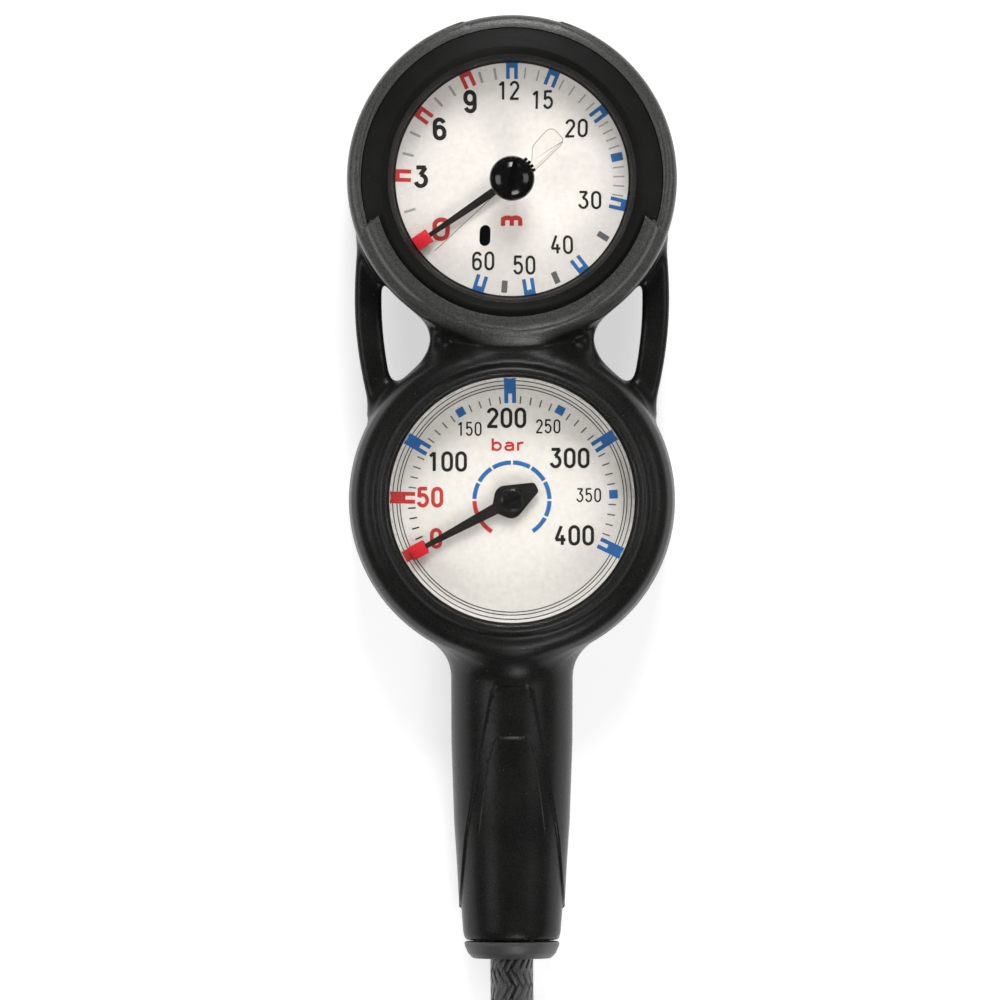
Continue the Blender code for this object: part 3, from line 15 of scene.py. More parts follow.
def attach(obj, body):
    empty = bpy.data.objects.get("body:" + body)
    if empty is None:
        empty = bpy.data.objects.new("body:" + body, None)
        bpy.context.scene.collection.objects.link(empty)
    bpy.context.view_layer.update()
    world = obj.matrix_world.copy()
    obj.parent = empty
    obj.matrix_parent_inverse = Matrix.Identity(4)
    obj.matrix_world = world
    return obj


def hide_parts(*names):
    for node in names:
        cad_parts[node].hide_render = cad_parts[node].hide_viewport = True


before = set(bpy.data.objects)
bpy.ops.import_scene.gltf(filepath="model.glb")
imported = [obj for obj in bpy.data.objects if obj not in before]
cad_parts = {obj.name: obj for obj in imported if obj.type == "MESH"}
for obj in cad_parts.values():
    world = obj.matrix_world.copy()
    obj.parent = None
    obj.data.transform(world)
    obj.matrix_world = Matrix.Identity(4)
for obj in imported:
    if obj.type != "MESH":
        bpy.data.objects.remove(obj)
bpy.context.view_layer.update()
MM = 0.001

# %% [markdown]
# ## Camera, floor and light
# The photograph looks straight down on the console through a long lens, so rims and dials show
# almost no perspective. Soft lamps stand on all four sides, the strongest beyond the depth
# gauge, all too low for a flat lens to mirror them into the camera. The room itself is dim,
# which keeps the black rubber black.

# %% Camera
def add_object(name, data):
    """Puts a new object into the scene."""
    made = bpy.data.objects.new(name, data)
    bpy.context.scene.collection.objects.link(made)
    return made


camera_data = bpy.data.cameras.new("photo_camera")
camera_data.lens = 485.6
camera_data.sensor_width = 36.0
camera = add_object("photo_camera", camera_data)
camera.location = (-0.00264, -0.0033, 3.0)
bpy.context.scene.camera = camera
bpy.context.scene.view_settings.view_transform = "Standard"


# %% Lamps and the pale room
def soft_lamp(name, place, size, power):
    """A square lamp that faces the console."""
    data = bpy.data.lights.new(name, "AREA")
    data.size = size
    data.energy = power
    lamp = add_object(name, data)
    lamp.location = place
    to_console = Vector((0.0, 0.0, 0.02)) - Vector(place)
    lamp.rotation_euler = to_console.to_track_quat("-Z", "Y").to_euler()


soft_lamp("lamp_top", (0.05, 0.95, 0.95), 0.42, 8.0)
soft_lamp("lamp_right", (0.85, 0.1, 0.9), 0.5, 1.9)
soft_lamp("lamp_left", (-0.85, 0.0, 0.85), 0.5, 2.3)
soft_lamp("lamp_bottom", (0.2, -0.85, 0.85), 0.42, 4.0)
room = bpy.data.worlds.new("pale_room")
room.use_nodes = True
room_light = room.node_tree.nodes["Background"].inputs
room_light["Color"].default_value = (0.95, 0.97, 1.0, 1.0)
room_light["Strength"].default_value = 0.06
bpy.context.scene.world = room


# %% [markdown]
# ## Materials
# Every finish is a small node tree on the piece's own coordinates: a grain that lifts the
# surface, a slow change of colour, and a roughness that varies. The helpers keep each finish
# to a few lines.

# %% Node helpers
def grey(value):
    return value, value, value


def node(tree, kind, **values):
    """Adds a node and sets its properties."""
    made = tree.nodes.new("ShaderNode" + kind)
    for key, value in values.items():
        setattr(made, key, value)
    return made


def wire(tree, source, target):
    tree.links.new(source, target)


def maths(tree, operation, first, second=None):
    """A Math node; each input is a number or a socket."""
    made = node(tree, "Math", operation=operation)
    for socket, value in zip(made.inputs, (first, second)):
        if value is None:
            continue
        if isinstance(value, (int, float)):
            socket.default_value = value
        else:
            wire(tree, value, socket)
    return made.outputs[0]


def plus(tree, first, second):
    return maths(tree, "ADD", first, second)


def times(tree, first, second):
    return maths(tree, "MULTIPLY", first, second)


def new_finish(name, roughness, metallic=0.0):
    """A material with a Principled shader, and its coordinates."""
    made = bpy.data.materials.new(name)
    made.use_nodes = True
    tree = made.node_tree
    shader = tree.nodes["Principled BSDF"]
    shader.inputs["Roughness"].default_value = roughness
    shader.inputs["Metallic"].default_value = metallic
    place = node(tree, "TexCoord").outputs["Object"]
    return made, tree, shader, place


def noise(tree, place, size_mm, detail=3.0, roughness=0.5):
    """Noise whose features are about size_mm across."""
    made = node(tree, "TexNoise")
    made.inputs["Scale"].default_value = 1000.0 / size_mm
    made.inputs["Detail"].default_value = detail
    made.inputs["Roughness"].default_value = roughness
    wire(tree, place, made.inputs["Vector"])
    return made.outputs["Fac"]


def ramp(tree, source, stops):
    """A colour ramp through (position, (r, g, b)) stops."""
    made = node(tree, "ValToRGB")
    band = made.color_ramp
    while len(band.elements) < len(stops):
        band.elements.new(0.5)
    for element, (position, colour) in zip(band.elements, stops):
        element.position = position
        element.color = (*colour, 1.0)
    wire(tree, source, made.inputs["Fac"])
    return made.outputs["Color"]


def span(tree, source, low, high, start=0.3, end=0.7):
    """Maps a noise's usual range to low..high."""
    made = node(tree, "MapRange")
    limits = {"From Min": start, "From Max": end, "To Min": low, "To Max": high}
    for name, value in limits.items():
        made.inputs[name].default_value = value
    wire(tree, source, made.inputs["Value"])
    return made.outputs["Result"]


def mixed(tree, amount, first, second):
    """One colour over another; each is a colour or a socket."""
    made = node(tree, "Mix", data_type="RGBA")
    wire(tree, amount, made.inputs[0])
    for socket, value in ((made.inputs[6], first), (made.inputs[7], second)):
        if isinstance(value, tuple):
            socket.default_value = (*value, 1.0)
        else:
            wire(tree, value, socket)
    return made.outputs[2]


def relief(tree, shader, height, depth_mm, strength=1.0):
    """Bumps the surface by a height between 0 and 1."""
    made = node(tree, "Bump")
    made.inputs["Distance"].default_value = depth_mm * MM
    made.inputs["Strength"].default_value = strength
    wire(tree, height, made.inputs["Height"])
    wire(tree, made.outputs["Normal"], shader.inputs["Normal"])


# %% Moulded finishes
def moulded(name, dark, light, roughness, grain_mm, depth_mm, shine=0.5, speckle=0.0, coarse=None):
    """Rubber or plastic from a mould: fine grain, patchy colour, some dust, and a coarser grain in places."""
    made, tree, shader, place = new_finish(name, roughness)
    shader.inputs["Specular IOR Level"].default_value = shine
    patches = noise(tree, place, 9.0, 4.0, 0.6)
    grain = noise(tree, place, grain_mm, 2.0, 0.6)
    both_grains = plus(tree, times(tree, patches, 0.55), times(tree, grain, 0.45))
    colour = ramp(tree, both_grains, [(0.38, dark), (0.62, light)])
    if coarse:  # a second, paler grain where the attribute says so
        where = node(tree, "Attribute", attribute_name="Coarse").outputs["Fac"]
        grit = ramp(tree, noise(tree, place, 0.34, 2.0, 0.7), [(0.36, coarse[0]), (0.66, coarse[1])])
        colour = mixed(tree, where, colour, grit)
    if speckle:
        dust = node(tree, "TexVoronoi")
        dust.inputs["Scale"].default_value = 1000.0 / 2.2
        wire(tree, place, dust.inputs["Vector"])
        dots = maths(tree, "LESS_THAN", dust.outputs["Distance"], speckle)
        colour = mixed(tree, dots, colour, (0.16, 0.16, 0.15))
    wire(tree, colour, shader.inputs["Base Color"])
    wire(tree, span(tree, grain, roughness - 0.08, roughness + 0.08), shader.inputs["Roughness"])
    if coarse:
        wire(tree, span(tree, where, shine, 3.5 * shine, 0.0, 1.0), shader.inputs["Specular IOR Level"])
        grain = times(tree, grain, plus(tree, times(tree, where, 0.65), 0.35))
    relief(tree, shader, grain, depth_mm)
    return made


BOOT_RUBBER = moulded("boot_rubber", (0.0055, 0.0052, 0.005), (0.0125, 0.012, 0.0115), 0.32, 0.36, 0.07, 0.17,
                      0.04, ((0.042, 0.041, 0.040), (0.100, 0.098, 0.094)))
SEAL_RUBBER = moulded("seal_rubber", grey(0.010), grey(0.018), 0.5, 0.5, 0.01)
TIE_RUBBER = moulded("tie_rubber", grey(0.012), grey(0.020), 0.55, 0.5, 0.05, 0.4)
CASE_PLASTIC = moulded("case_plastic", (0.014, 0.014, 0.015), (0.024, 0.024, 0.025), 0.42, 0.4, 0.015)
BEZEL_PLASTIC = moulded("bezel_plastic", (0.010, 0.0095, 0.009), (0.016, 0.0155, 0.015), 0.48, 0.3, 0.010,
                        0.12, 0.02)
COLLAR_PLASTIC = moulded("collar_plastic", (0.060, 0.060, 0.059), (0.095, 0.094, 0.092), 0.45, 0.3, 0.03, 0.5,
                         0.03)
POINTER_BLACK = moulded("pointer_black", (0.014, 0.012, 0.011), (0.018, 0.016, 0.014), 0.35, 0.25, 0.008,
                        0.15)
WALL_PLASTIC = moulded("wall_plastic", grey(0.004), grey(0.008), 0.55, 0.4, 0.006, 0.15)
RING_PLASTIC = moulded("ring_plastic", grey(0.010), grey(0.018), 0.4, 0.4, 0.006, 0.4)
KNOB_BLACK = moulded("knob_black", grey(0.005), grey(0.010), 0.13, 0.8, 0.004)


# %% Metals, prints and clear pieces
def metal(name, colour, roughness, grain_mm=0.6):
    """Turned or rolled metal: bright, with fine uneven polish."""
    made, tree, shader, place = new_finish(name, roughness, 1.0)
    fine = noise(tree, place, grain_mm, 4.0, 0.7)
    broad = noise(tree, place, 5.0, 3.0, 0.5)
    wire(tree, span(tree, fine, roughness * 0.7, roughness * 1.4), shader.inputs["Roughness"])
    dark = tuple(0.86 * c for c in colour)
    wire(tree, ramp(tree, broad, [(0.35, dark), (0.65, colour)]), shader.inputs["Base Color"])
    relief(tree, shader, fine, 0.004)
    return made


def printed(name, colour, roughness=0.45):
    """A printed colour with a faint unevenness."""
    made, tree, shader, place = new_finish(name, roughness)
    shader.inputs["Specular IOR Level"].default_value = 0.12
    fine = noise(tree, place, 1.2, 3.0, 0.6)
    dark = tuple(0.9 * c for c in colour)
    wire(tree, ramp(tree, fine, [(0.3, dark), (0.7, colour)]), shader.inputs["Base Color"])
    wire(tree, span(tree, fine, roughness - 0.05, roughness + 0.05), shader.inputs["Roughness"])
    return made


def clear(name, colour, ior, roughness=0.0):
    """Glass or clear plastic that lets the lamps' light through to the dial."""
    made, tree, shader, place = new_finish(name, roughness)
    shader.inputs["Base Color"].default_value = (*colour, 1.0)
    shader.inputs["IOR"].default_value = ior
    shader.inputs["Transmission Weight"].default_value = 1.0
    smear = noise(tree, place, 14.0, 3.0, 0.6)
    wire(tree, span(tree, smear, roughness, roughness + 0.02), shader.inputs["Roughness"])
    path = node(tree, "LightPath")
    through = node(tree, "BsdfTransparent")
    through.inputs["Color"].default_value = (*colour, 1.0)
    mix = node(tree, "MixShader")
    wire(tree, path.outputs["Is Shadow Ray"], mix.inputs[0])
    wire(tree, shader.outputs[0], mix.inputs[1])
    wire(tree, through.outputs[0], mix.inputs[2])
    wire(tree, mix.outputs[0], tree.nodes["Material Output"].inputs["Surface"])
    return made


CHROME = metal("chrome", (0.78, 0.79, 0.80), 0.14)
STEEL = metal("steel", (0.56, 0.57, 0.58), 0.3)
BRASS = metal("brass", (0.72, 0.53, 0.25), 0.28)
BRONZE = metal("bronze", (0.62, 0.42, 0.24), 0.3)
DIAL_WHITE = printed("dial_white", (0.87, 0.834, 0.79), 0.5)
PRINT_BLACK = printed("print_black", (0.022, 0.020, 0.018))
PRINT_GREY = printed("print_grey", grey(0.15))
PRINT_PALE = printed("print_pale", grey(0.40))
PRINT_RED = printed("print_red", (0.60, 0.050, 0.045))
PRINT_BLUE = printed("print_blue", (0.035, 0.16, 0.43))
# Painted shade: a dark brown line that stands for the dark edges a clear needle shows
EDGE_SHADE_PAINT = printed("needle_outline_shade_paint", (0.06, 0.045, 0.035))
SIGNAL_RED = printed("signal_red", (0.72, 0.022, 0.035), 0.35)
LENS_PLASTIC = clear("lens_plastic", (0.985, 0.98, 0.975), 1.49)
GAUGE_GLASS = clear("gauge_glass", (0.961, 0.961, 0.951), 1.52)
NEEDLE_PLASTIC = clear("needle_plastic", (0.985, 0.98, 0.97), 1.12)
print("finishes", len(bpy.data.materials))

# %% Floor
def mesh_of(name, shape):
    """Turns a shape into a mesh."""
    mesh = bpy.data.meshes.new(name)
    shape.to_mesh(mesh)
    shape.free()
    return mesh


floor_shape = bmesh.new()
bmesh.ops.create_grid(floor_shape, x_segments=1, y_segments=1, size=3.0)
floor = add_object("floor", mesh_of("floor", floor_shape))
FLOOR_PAINT, floor_tree, floor_shader, floor_place = new_finish("floor_paint", 0.8)
floor_noise = noise(floor_tree, floor_place, 60.0)
floor_tone = ramp(floor_tree, floor_noise, [(0.3, grey(0.90)), (0.7, grey(0.93))])
wire(floor_tree, floor_tone, floor_shader.inputs["Base Color"])
floor_shader.inputs["Emission Color"].default_value = (1.0, 1.0, 1.0, 1.0)
floor_shader.inputs["Emission Strength"].default_value = 0.62
floor.data.materials.append(FLOOR_PAINT)


# %% [markdown]
# ## Making pieces
# Most pieces are turned on a lathe or moulded round, so a profile of radius and height is spun
# about its axis. Corners of the profile are rounded first, because a real edge always catches
# a thin line of light.

# %% Moving points about
def shift(shape, verts, x, y, z):
    """Moves points by millimetres."""
    bmesh.ops.translate(shape, verts=verts, vec=(x * MM, y * MM, z * MM))


def swing(shape, verts, degrees, axis="Z"):
    """Turns points about an axis through the origin."""
    matrix = Matrix.Rotation(math.radians(degrees), 3, axis)
    bmesh.ops.rotate(shape, verts=verts, cent=(0, 0, 0), matrix=matrix)


def face_outward(shape):
    bmesh.ops.recalc_face_normals(shape, faces=shape.faces)


def extrude(shape, faces, x, y, z):
    """Makes a solid by pulling faces out by millimetres."""
    made = bmesh.ops.extrude_face_region(shape, geom=faces)["geom"]
    shift(shape, [g for g in made if isinstance(g, bmesh.types.BMVert)], x, y, z)
    face_outward(shape)


def lie_along(shape, centre, height):
    """Puts a shape on a centre; given a height, its axis is laid down along the hose first."""
    if height is not None:
        swing(shape, shape.verts, 90.0, "X")
    shift(shape, shape.verts, *centre, height or 0.0)


def turned_to(shape, verts, degrees, centre):
    """Turns points from the +Y direction to an angle clockwise from a dial's top, and moves them there."""
    swing(shape, verts, -degrees)
    shift(shape, verts, *centre, 0.0)


# %% Plain and turned shapes
def block(shape, x0, x1, y0, y1, low, high):
    """A box between corners, in millimetres."""
    made = bmesh.ops.create_cube(shape, size=1.0)["verts"]
    bmesh.ops.scale(shape, verts=made, vec=((x1 - x0) * MM, (y1 - y0) * MM, (high - low) * MM))
    shift(shape, made, (x0 + x1) / 2, (y0 + y1) / 2, (low + high) / 2)
    return made


def cylinder(shape, radius, height, sides, capped=True):
    """An upright cylinder or prism round the origin, in millimetres."""
    return bmesh.ops.create_cone(shape, cap_ends=capped, segments=sides, radius1=radius * MM,
                                 radius2=radius * MM, depth=height * MM)["verts"]


def rounded(profile, size=0.25, steps=3):
    """The profile again, with each corner off the axis cut back and curved."""
    points = [Vector(p) for p in profile]
    ring = profile[0][0] > 0.0 or profile[-1][0] > 0.0
    result = []
    for i, corner in enumerate(points):
        if not ring and i in (0, len(points) - 1):
            result.append(tuple(corner))
            continue
        before = points[i - 1] - corner
        after = points[(i + 1) % len(points)] - corner
        cut = min(size, 0.45 * before.length, 0.45 * after.length)
        start = corner + before.normalized() * cut
        end = corner + after.normalized() * cut
        for k in range(steps + 1):
            t = k / steps
            result.append(tuple(start.lerp(corner, t).lerp(corner.lerp(end, t), t)))
    return result


def turned(profile, centre=(0.0, 0.0), sides=160, along=None):
    """A solid of revolution in metres from a profile in millimetres."""
    shape = bmesh.new()
    verts = [shape.verts.new((r * MM, 0.0, z * MM)) for r, z in profile]
    edges = [shape.edges.new(pair) for pair in zip(verts, verts[1:])]
    if profile[0][0] > 0.0 or profile[-1][0] > 0.0:
        edges.append(shape.edges.new((verts[-1], verts[0])))
    bmesh.ops.spin(shape, geom=verts + edges, cent=(0, 0, 0), axis=(0, 0, 1), dvec=(0, 0, 0),
                   angle=2 * math.pi, steps=sides, use_merge=True, use_duplicate=False)
    bmesh.ops.remove_doubles(shape, verts=shape.verts, dist=1e-7)
    lie_along(shape, centre, along)
    face_outward(shape)
    return shape


# %% From a shape to a piece of the object
def shade(mesh, sharp):
    """Smooth shading, with a crease where faces meet at more than an angle."""
    mesh.shade_smooth()
    mesh.set_sharp_from_angle(angle=math.radians(sharp))


def piece(name, shape, finish, body, *replaced, sharp=38.0):
    """Turns a shape into an object that rides on a body and may stand for CAD nodes."""
    mesh = mesh_of(name, shape)
    mesh.materials.append(finish)
    shade(mesh, sharp)
    item = add_object(name, mesh)
    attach(item, body)
    if replaced:
        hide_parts(*replaced)
    print(name, len(mesh.polygons), "faces")
    return item


def turned_piece(name, profile, corner, centre, finish, replaced, body="console", sides=160, along=None):
    """A turned piece; corner is the rounding of its profile, or 0."""
    if corner:
        profile = rounded(profile, corner)
    return piece(name, turned(profile, centre, sides, along), finish, body, replaced)


def cut_away(item, cutter_shape, operation="DIFFERENCE"):
    """A Boolean with a shape that is thrown away afterwards."""
    cutter = add_object("cutter", mesh_of("cutter", cutter_shape))
    step = item.modifiers.new("Cut", "BOOLEAN")
    step.object = cutter
    step.operation = operation
    step.solver = "EXACT"
    settle_modifiers(item)
    bpy.data.objects.remove(cutter, do_unlink=True)


def settle_modifiers(item):
    """Replaces the mesh by what its modifiers make of it."""
    bpy.context.view_layer.update()
    graph = bpy.context.evaluated_depsgraph_get()
    made = bpy.data.meshes.new_from_object(item.evaluated_get(graph))
    item.modifiers.clear()
    old = item.data
    made.name = old.name
    item.data = made
    bpy.data.meshes.remove(old)


# %% The console's measures, in millimetres
DEPTH_Y = 67.5
PRESSURE_Y = -3.3
HOSE_HEIGHT = 14.5
HOSE_RADIUS = 4.75
DIAL_TOP = 20.6
DEPTH_CENTRE = (0.0, DEPTH_Y)
PRESSURE_CENTRE = (0.0, PRESSURE_Y)

# %% [markdown]
# ## The braided hose
# A gauge hose has a woven cover, two yarns over and two under. It is a tube swept along the
# same route as the plain solid: out of the handle, round a gentle bend, and wound into two
# coils that lie on each other. The weave is in the material, on the tube's own UV map, so it
# follows every bend.

# %% The hose's route
COIL_MIDDLE = Vector((-22.0, -186.996))
COIL_FIRST = 37.3428
COIL_TURNS = 2.0 + COIL_FIRST / 360.0


def coil_point(turns):
    """Centreline and heading after so many turns of the coil, in millimetres."""
    middle = COIL_TURNS / 2
    radius = 54.0 - 10.0 * (middle - abs(turns - middle))
    degrees = COIL_FIRST - 360.0 * turns
    angle = math.radians(degrees)
    left = min(max((middle - turns) / 0.5 + 0.5, 0.0), 1.0)
    away = (degrees - 180.0 + 180.0) % 360.0 - 180.0
    height = HOSE_RADIUS + 0.1 + 10.0 * left ** 2 * (3 - 2 * left) + 1.55 * math.exp(-(away / 35.0) ** 2)
    side, ahead = math.cos(angle), math.sin(angle)
    point = Vector((COIL_MIDDLE.x + radius * side, COIL_MIDDLE.y + radius * ahead, height))
    return point, Vector((ahead, -side, 0.0))


def hose_route():
    """Points from the gauge's ferrule to the far ferrule."""
    first = coil_point(0.0)[0]
    last, away = coil_point(COIL_TURNS)
    out = Vector((0.0, -111.6, HOSE_HEIGHT))
    route = [Vector((0.0, -73.5 - 9.525 * i, HOSE_HEIGHT)) for i in range(4)] + [out]
    for i in range(1, 6):
        angle = math.radians(COIL_FIRST * i / 5)
        rise = (first.z - out.z) * i / 5
        route.append(out + Vector((45.0 - 45.0 * math.cos(angle), -45.0 * math.sin(angle), rise)))
    count = round(24 * COIL_TURNS)
    route += [coil_point(COIL_TURNS * i / count)[0] for i in range(1, count + 1)]
    foot = last + away * 19.3
    route.append(last + away * 9.5)
    for i in range(5):
        t = i / 4
        route.append(Vector((foot.x, foot.y - 20.0 * t, foot.z + (8.1 - foot.z) * t * t * (3 - 2 * t))))
    route.append(route[-1] + away * 9.5)
    return route


ROUTE = hose_route()


# %% Sweep a tube along the route
def fine_route(points, steps=4):
    """The route with a smooth curve through its points."""
    result = []
    for i in range(len(points) - 1):
        p0, p1 = points[max(i - 1, 0)], points[i]
        p2, p3 = points[i + 1], points[min(i + 2, len(points) - 1)]
        for k in range(steps):
            t = k / steps
            result.append(0.5 * (2 * p1 + (p2 - p0) * t + (2 * p0 - 5 * p1 + 4 * p2 - p3) * t ** 2
                                 + (3 * p1 - p0 - 3 * p2 + p3) * t ** 3))
    return result + [points[-1]]


def close_ends(shape):
    """Fills the open ends of a tube."""
    bmesh.ops.holes_fill(shape, edges=[e for e in shape.edges if e.is_boundary], sides=0)
    face_outward(shape)


def swept(points, radius, sides):
    """A circle extruded from point to point, with a UV map of millimetres along and turns round."""
    shape = bmesh.new()
    uv = shape.loops.layers.uv.new("Along")
    bmesh.ops.create_circle(shape, cap_ends=False, radius=radius * MM, segments=sides)
    ring = list(shape.verts)
    edges = list(shape.edges)
    heading = Vector((0.0, 0.0, 1.0))
    here = Vector((0.0, 0.0, 0.0))
    walked = {vert: 0.0 for vert in ring}
    round_at = {vert: i / sides for i, vert in enumerate(ring)}
    distance = 0.0
    for i, point in enumerate(points):
        ahead = points[min(i + 1, len(points) - 1)] - points[max(i - 1, 0)]
        ahead.normalize()
        if i:
            spots = {vert.co.copy().freeze(): round_at[vert] for vert in ring}
            made = bmesh.ops.extrude_edge_only(shape, edges=edges)["geom"]
            ring = [g for g in made if isinstance(g, bmesh.types.BMVert)]
            edges = [g for g in made if isinstance(g, bmesh.types.BMEdge)]
            distance += (point - points[i - 1]).length
            round_at.update((vert, spots[vert.co.copy().freeze()]) for vert in ring)
            walked.update((vert, distance) for vert in ring)
        turn = heading.rotation_difference(ahead).to_matrix()
        bmesh.ops.rotate(shape, verts=ring, cent=here * MM, matrix=turn)
        bmesh.ops.translate(shape, verts=ring, vec=(point - here) * MM)
        here, heading = point.copy(), ahead
    for face in shape.faces:
        turns = [round_at[loop.vert] for loop in face.loops]
        for loop, value in zip(face.loops, turns):
            value += 1.0 if max(turns) - value > 0.5 else 0.0
            loop[uv].uv = (walked[loop.vert], value)
    close_ends(shape)
    return shape


# %% The woven cover
def woven(name, yarns=18, pitch_mm=3.3):
    """Two sets of yarns that cross, each over two and under two; painted shade darkens the gaps and a painted
    sheen lightens the crowns.
    """
    made, tree, shader, place = new_finish(name, 0.3)
    uv = node(tree, "UVMap", uv_map="Along")
    parts = node(tree, "SeparateXYZ")
    wire(tree, uv.outputs["UV"], parts.inputs[0])
    along = maths(tree, "DIVIDE", parts.outputs["X"], pitch_mm)
    around = times(tree, parts.outputs["Y"], float(yarns))
    first = plus(tree, along, around)
    second = maths(tree, "SUBTRACT", along, around)
    cells = plus(tree, maths(tree, "FLOOR", first), maths(tree, "FLOOR", second))
    which = maths(tree, "LESS_THAN", maths(tree, "FLOORED_MODULO", cells, 4.0), 1.5)
    rest = maths(tree, "SUBTRACT", 1.0, which)
    heights = []
    for yarn in (first, second):
        across = maths(tree, "SINE", times(tree, maths(tree, "FRACT", yarn), math.pi))
        heights.append(maths(tree, "POWER", across, 0.55))
    top = plus(tree, times(tree, heights[0], which), times(tree, heights[1], rest))
    fibres = noise(tree, place, 0.12, 2.0, 0.6)
    height = plus(tree, times(tree, top, 0.88), times(tree, fibres, 0.12))
    # Painted shade: the gaps between yarns go near black; painted sheen: the yarns' crowns are paler
    colour = ramp(tree, height, [(0.35, grey(0.001)), (0.75, (0.010, 0.010, 0.0105)),
                                 (0.98, (0.055, 0.056, 0.058))])
    shader.inputs["Specular IOR Level"].default_value = 1.0
    wire(tree, colour, shader.inputs["Base Color"])
    wire(tree, span(tree, fibres, 0.2, 0.36), shader.inputs["Roughness"])
    relief(tree, shader, height, 0.8)
    return made


HOSE_BRAID = woven("hose_braid")
hose_shape = swept(fine_route(ROUTE), HOSE_RADIUS, 40)
hose = piece("braided_hose", hose_shape, HOSE_BRAID, "hose", "hose_lead", "hose_coil", "hose_tail")

# %% [markdown]
# ## The rubber boot
# The boot is one moulding: two round cups, a web between them, two strap loops and a sleeve
# for the hose, all flowing into each other. Plain solids are merged by a voxel remesh, and the
# points are then settled onto one blended surface, the way a model maker fills every inside
# corner with clay. The pockets and bores are cut last, so their edges stay crisp.


# %% Distances that describe the boot
def outline_distance(x, y, outline):
    """Distance to a closed outline, negative inside it."""
    nearest = np.full(x.shape, 1e9)
    inside = np.zeros(x.shape, bool)
    for (ax, ay), (bx, by) in zip(outline, outline[1:] + outline[:1]):
        ex, ey = bx - ax, by - ay
        wx, wy = x - ax, y - ay
        t = np.clip((wx * ex + wy * ey) / (ex * ex + ey * ey), 0.0, 1.0)
        nearest = np.minimum(nearest, (wx - t * ex) ** 2 + (wy - t * ey) ** 2)
        crosses = (ay > y) != (by > y)
        inside ^= crosses & (x < ax + (y - ay) * ex / (ey if ey else 1e-12))
    return np.where(inside, -1.0, 1.0) * np.sqrt(nearest)


def both(a, b, round_by):
    """What lies in both shapes, with the edge between them rounded."""
    u, v = a + round_by, b + round_by
    return np.hypot(np.maximum(u, 0.0), np.maximum(v, 0.0)) + np.minimum(np.maximum(u, v), 0.0) - round_by


def blend_of(a, b, fillet):
    """Both shapes together, with a fillet in the corner between them."""
    return np.minimum(a, b) - np.maximum(fillet - np.abs(a - b), 0.0) ** 2 / (4.0 * fillet)


def upright(points, outline, low, high, round_by):
    """Distance to a plate with an outline seen from above."""
    flat = outline_distance(points[:, 0], points[:, 1], outline)
    tall = np.abs(points[:, 2] - (low + high) / 2) - (high - low) / 2
    return both(flat, tall, round_by)


# %% The boot's profiles and outlines
ARM_END = 17.0  # degrees from the top, where the rim's two arms end
DEPTH_CUP = rounded([(0.0, 31.4), (33.0, 31.4), (34.4, 31.15), (35.5, 30.65), (36.0, 29.8), (36.1, 27.5),
                     (36.1, 5.0), (35.4, 1.6), (33.7, 0.0), (0.0, 0.0)], 0.9)
PRESSURE_CUP = rounded([(0.0, 33.8), (28.9, 33.8), (29.5, 33.3), (30.1, 32.2), (32.4, 31.7), (34.2, 30.4),
                        (35.4, 28.0), (36.0, 24.5), (36.0, 5.0), (35.3, 1.6), (33.6, 0.0), (0.0, 0.0)], 0.45)
LIP = rounded([(28.0, 33.3), (31.2, 33.5), (32.6, 33.3), (33.6, 32.5), (34.3, 30.9), (34.5, 26.0),
               (28.0, 26.0)], 0.5)
SLEEVE_SHAPE = [(0.0, 97.3), (10.1, 97.3), (10.5, 96.8), (10.8, 95.6), (11.2, 90.2), (11.75, 80.1),
                (12.35, 71.2), (12.65, 62.3), (12.95, 53.4), (13.05, 31.2), (0.0, 31.2)]
SLEEVE = rounded(SLEEVE_SHAPE, 0.4)
SLEEVE_STATIONS = np.array(SLEEVE_SHAPE[-2:0:-1])


def strap_outline(side):
    """One strap loop seen from above."""
    outer, inner = [], []
    for i in range(17):
        t = i / 16
        x = 34.0 + (31.3 - 34.0) * t ** 2 + 1.25 * math.sin(math.pi * t)
        outer.append((side * x, 54.5 + (16.14 - 54.5) * t))
        inner.append((side * (x - 5.9), 54.5 + (16.14 - 54.5) * t))
    return outer + inner[::-1]


def both_sides(right):
    """An outline from its right half."""
    return right + [(-x, y) for x, y in right[::-1]]


NECK = both_sides([(18.0 + 9.0 * (i / 4 - 1) ** 2, 32.1 + 21.9 * (i / 4 - 1)) for i in range(9)])
PANEL = both_sides([(3.2, -44.4), (3.9, -44.7), (4.55, -45.9), (7.1, -58.7), (10.35, -78.0), (11.5, -90.9),
                    (11.65, -93.4), (16.0, -93.5), (16.0, -112.0)])
PAD = both_sides([(2.7, -55.5), (3.4, -55.8), (4.25, -57.1), (5.3, -61.2), (6.9, -72.0), (8.6, -86.0)])


# %% The blended surface
def smooth_step(value, start, end):
    t = np.clip((value - start) / (end - start), 0.0, 1.0)
    return t * t * (3.0 - 2.0 * t)


def seam_radius(x, y):
    """Where the rim's two arms part from the cup: near its edge at the top, further in at the sides."""
    turn = np.degrees(np.arctan2(np.abs(x), y - DEPTH_Y))
    return 35.95 - (2.25 - 0.2 * np.sign(x)) * np.clip((turn - ARM_END) / 83.0, 0.0, 1.0) ** 0.75


def lip_edge(x, y):
    """Negative where the lip covers the depth gauge's rim."""
    return y - DEPTH_Y + 10.2 - 0.75 * (33.2 - np.hypot(x, y - DEPTH_Y))


def past_arms(x, y):
    """Negative between the ends of the rim's two arms."""
    end = math.radians(ARM_END)
    return np.abs(x) * math.cos(end) - (y - DEPTH_Y) * math.sin(end)


def across_handle(x, y, z):
    """The x at which a line from the hose's axis through a point meets the handle's surface."""
    radius = np.interp(PRESSURE_Y - y, SLEEVE_STATIONS[:, 1], SLEEVE_STATIONS[:, 0]) + 0.4
    return x * radius / np.maximum(np.hypot(x, z - HOSE_HEIGHT), 1.0)


